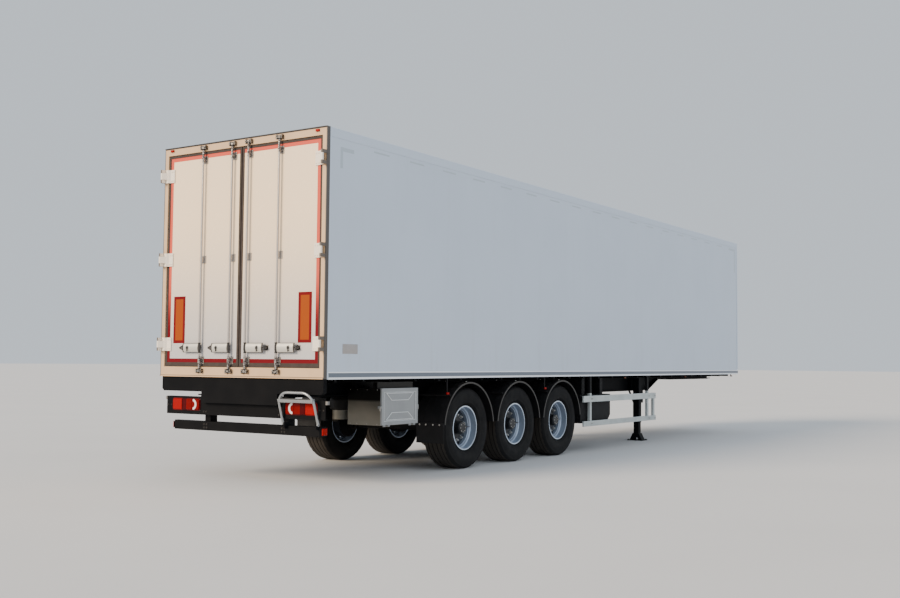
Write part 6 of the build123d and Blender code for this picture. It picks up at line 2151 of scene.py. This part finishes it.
@dataclass
class SideFittings:
    """Bolts of the side guards, landing legs and king pin plate, and the coupling caps."""

    palette: Palette
    posts: tuple[float, float, float] = (6.66, 8.94, 9.21)
    rails: Pair = (0.836, 0.444)
    rail_offset: float = 0.014
    rail_face: float = 1.262
    rail_bolt: BoltSize = BoltSize(0.014, 0.006)
    leg_plane: float = 0.785
    gear_face: float = REAR_FACE + 9.63
    gear_bolts_y: Pair = (-0.045, 0.045)
    gear_bolts_z: tuple[float, float, float] = (0.705, 0.80, 0.895)
    gear_bolt: BoltSize = BoltSize(0.020, 0.010)
    foot_bolts_x: Pair = (9.41, 9.59)
    foot_bolts_y: Pair = (0.655, 0.915)
    foot_top: float = 0.016
    foot_bolt: BoltSize = BoltSize(0.022, 0.010)
    leg_rivets_x: tuple[float, float, float] = (9.44, 9.50, 9.56)
    leg_rivets_z: Pair = (0.36, 0.42)
    leg_face: float = 0.845
    leg_rivet: float = 0.006
    pin_x: float = REAR_FACE + 12.03
    pin_circle: float = 0.085
    pin_bolts: int = 8
    pin_bolt: BoltSize = BoltSize(0.024, 0.010)
    plate_low: float = 1.096
    coupling_face: float = REAR_FACE + 13.655
    coupling_row: float = 1.435
    cap_span: Span = (-0.004, 0.0048)
    cap_rings: Rings = ((0, 0.0325), (0.15, 0.0335), (0.7, 0.0335), (1, 0.030))
    cap_sides: int = 32
    air_caps: tuple[tuple[str, Look, float], ...] = (
        ("red_air_cap", Look.RED_CAP, -0.22),
        ("yellow_air_cap", Look.YELLOW_CAP, 0.22),
    )
    lids: tuple[Pair, ...] = ((-0.11, 0.035), (0.0, 0.040), (0.11, 0.035))
    lid_span: Span = (-0.006, 0.0045)
    lid_rings: Rings = ((0, 0.001), (0.2, 0.0015), (0.8, 0.0015), (1, 0.0))
    lid_hinge: Span = (-0.03, 0.002)
    lid_hinge_half: float = 0.012
    lid_hinge_rise: float = 0.010
    lid_hinge_bevel: float = 0.003

    def guard_bolts(self) -> None:
        """Bolt the rails to their posts."""
        draft = Draft("rail_bolts")
        for x, z, offset in product(self.posts, self.rails, (-self.rail_offset, self.rail_offset)):
            draft.bolt((REAR_FACE + x + offset, -self.rail_face, z), RIGHT, self.rail_bolt)
        draft.mirrored()
        draft.finish(Body.TRAILER, self.palette[Look.BOLT])

    def leg_bolts(self) -> None:
        """Bolt the landing legs' gear housings and feet, and rivet their inner tubes."""
        draft = Draft("leg_bolts")
        for y, z in product(self.gear_bolts_y, self.gear_bolts_z):
            draft.bolt((self.gear_face, self.leg_plane + y, z), FRONT, self.gear_bolt)
        for x, y in product(self.foot_bolts_x, self.foot_bolts_y):
            draft.bolt((REAR_FACE + x, y, self.foot_top), UP, self.foot_bolt)
        for x, z in product(self.leg_rivets_x, self.leg_rivets_z):
            draft.rivet((REAR_FACE + x, self.leg_face, z), LEFT, self.leg_rivet)
        draft.mirrored()
        draft.finish(Body.TRAILER, self.palette[Look.DARK_BOLT])

    def king_pin(self) -> None:
        """Ring the king pin with its bolts under the rubbing plate."""
        draft = Draft("king_pin_bolts")
        for along, across in circle_points(self.pin_bolts, self.pin_circle, 0.5):
            draft.bolt((self.pin_x + along, across, self.plate_low), DOWN, self.pin_bolt)
        draft.finish(Body.TRAILER, self.palette[Look.DARK_BOLT])

    def on_front(self, draft: Draft, y: float, span: Span, rings: Rings) -> None:
        """Add a turned cover on the couplings' row.

        Args:
            draft: Mesh that takes it.
            y: Its place across the trailer.
            span: Its rear and front end, from the couplings' face.
            rings: Share of the length and radius of each ring.
        """
        rear, front = (self.coupling_face + depth for depth in span)
        start, end = (rear, y, self.coupling_row), (front, y, self.coupling_row)
        draft.stack(start, end, rings, self.cap_sides)

    def caps(self) -> None:
        """Put the coloured caps on the air couplings."""
        for name, look, y in self.air_caps:
            draft = Draft(name)
            self.on_front(draft, y, self.cap_span, self.cap_rings)
            draft.finish(Body.TRAILER, self.palette[look])

    def socket_lids(self) -> None:
        """Put the hinged lids on the electric sockets."""
        draft = Draft("socket_lids")
        rear, front = (self.coupling_face + depth for depth in self.lid_hinge)
        for y, radius in self.lids:
            rings = [(share, radius + extra) for share, extra in self.lid_rings]
            self.on_front(draft, y, self.lid_span, rings)
            low = (rear, y - self.lid_hinge_half, self.coupling_row + radius)
            high = (front, y + self.lid_hinge_half, self.coupling_row + self.lid_hinge_rise + radius)
            draft.slab(low, high, self.lid_hinge_bevel)
        draft.finish(Body.TRAILER, self.palette[Look.GUARD])

    def build(self) -> None:
        """Make every piece of the side and front fittings."""
        self.guard_bolts()
        self.leg_bolts()
        self.king_pin()
        self.caps()
        self.socket_lids()


@dataclass(frozen=True)
class Sun:
    """A broad, far light: the way to it, its strength, its colour and its width in degrees."""

    name: str
    toward: Point
    strength: float
    colour: Colour
    angle: float

    def build(self) -> None:
        """Add the light to the scene."""
        data = bpy.data.lights.new(self.name, "SUN")
        data.energy = self.strength
        data.color = self.colour
        data.angle = math.radians(self.angle)
        light = bpy.data.objects.new(self.name, data)
        light.rotation_mode = "QUATERNION"
        light.rotation_quaternion = Vector(self.toward).to_track_quat("Z", "Y")
        bpy.context.scene.collection.objects.link(light)


@dataclass
class Studio:
    """Camera, lights and the pale floor."""

    eye: Point = (-15.842, -8.963, 1.402)
    yaw: float = 33.6334
    pitch: float = 3.3516
    roll: float = 0.48697
    focal_pixels: float = 1079.35
    frame_pixels: float = 900.0
    sensor: float = 36.0
    sight: float = 1000.0
    suns: tuple[Sun, ...] = (
        Sun("rear_key", (-0.86, 0.30, 0.42), 4.9, (1.0, 0.81, 0.60), 25.0),
        Sun("side_fill", (-0.30, -0.85, 0.45), 0.55, (0.86, 0.93, 1.0), 60.0),
    )
    sky: Colour = (0.80, 0.87, 0.95)
    sky_strength: float = 0.86
    floor_half: float = 260.0
    floor_paint: Finish = Finish(
        "floor_paint", (0.66, 0.66, 0.66), (0.62, 0.62, 0.62), patch_scale=0.4, roughness=0.8
    )

    def camera(self) -> None:
        """Set the camera where the photograph was taken from."""
        yaw, pitch, roll = (math.radians(angle) for angle in (self.yaw, self.pitch, self.roll))
        forward = Vector((
            math.cos(yaw) * math.cos(pitch), math.sin(yaw) * math.cos(pitch), math.sin(pitch)
        ))
        level = Vector((math.sin(yaw), -math.cos(yaw), 0.0))
        upright = level.cross(forward)
        right = math.cos(roll) * level + math.sin(roll) * upright
        up = math.cos(roll) * upright - math.sin(roll) * level
        data = bpy.data.cameras.new("photo_camera")
        data.sensor_width = self.sensor
        data.lens = self.focal_pixels / self.frame_pixels * self.sensor
        data.clip_end = self.sight
        camera = bpy.data.objects.new("photo_camera", data)
        turn = Matrix((right, up, -forward)).transposed().to_4x4()
        camera.matrix_world = Matrix.Translation(self.eye) @ turn
        bpy.context.scene.collection.objects.link(camera)
        bpy.context.scene.camera = camera

    def lights(self) -> None:
        """Light the rear warmly, with a weak cool fill and a pale surround."""
        for sun in self.suns:
            sun.build()
        world = bpy.data.worlds.new("studio")
        world.use_nodes = True
        background = world.node_tree.nodes["Background"]
        background.inputs["Color"].default_value = (*self.sky, 1.0)
        background.inputs["Strength"].default_value = self.sky_strength
        bpy.context.scene.world = world

    def floor(self) -> None:
        """Lay the pale floor."""
        half = self.floor_half
        mesh = bpy.data.meshes.new("studio_floor")
        corners = [(-half, -half, 0.0), (half, -half, 0.0), (half, half, 0.0), (-half, half, 0.0)]
        mesh.from_pydata(corners, [], [(0, 1, 2, 3)])
        floor = bpy.data.objects.new("studio_floor", mesh)
        mesh.materials.append(self.floor_paint.make())
        bpy.context.scene.collection.objects.link(floor)

    def build(self) -> None:
        """Set up camera, lights and floor."""
        self.camera()
        self.lights()
        self.floor()
        LOG.info("studio ready")


def main() -> None:
    """Build the looks of the trailer piece by piece."""
    logging.basicConfig(level=logging.INFO, format="%(name)s: %(message)s")
    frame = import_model()
    palette = Palette()
    Studio().build()
    Nodes(frame["nodes"], palette).dress()
    for side in Side:
        RearDoor(side, palette).build()
    DoorFrame(palette).build()
    SideSkin(palette).build()
    RearBars(palette).build()
    for index in range(1, len(AXLES) + 1):
        for side in Side:
            Wheel(index, side, palette).build()
    RunningGear(palette).build()
    Toolbox(palette).build()
    SideFittings(palette).build()
    LOG.info("all pieces built")


if __name__ == "__main__":
    main()
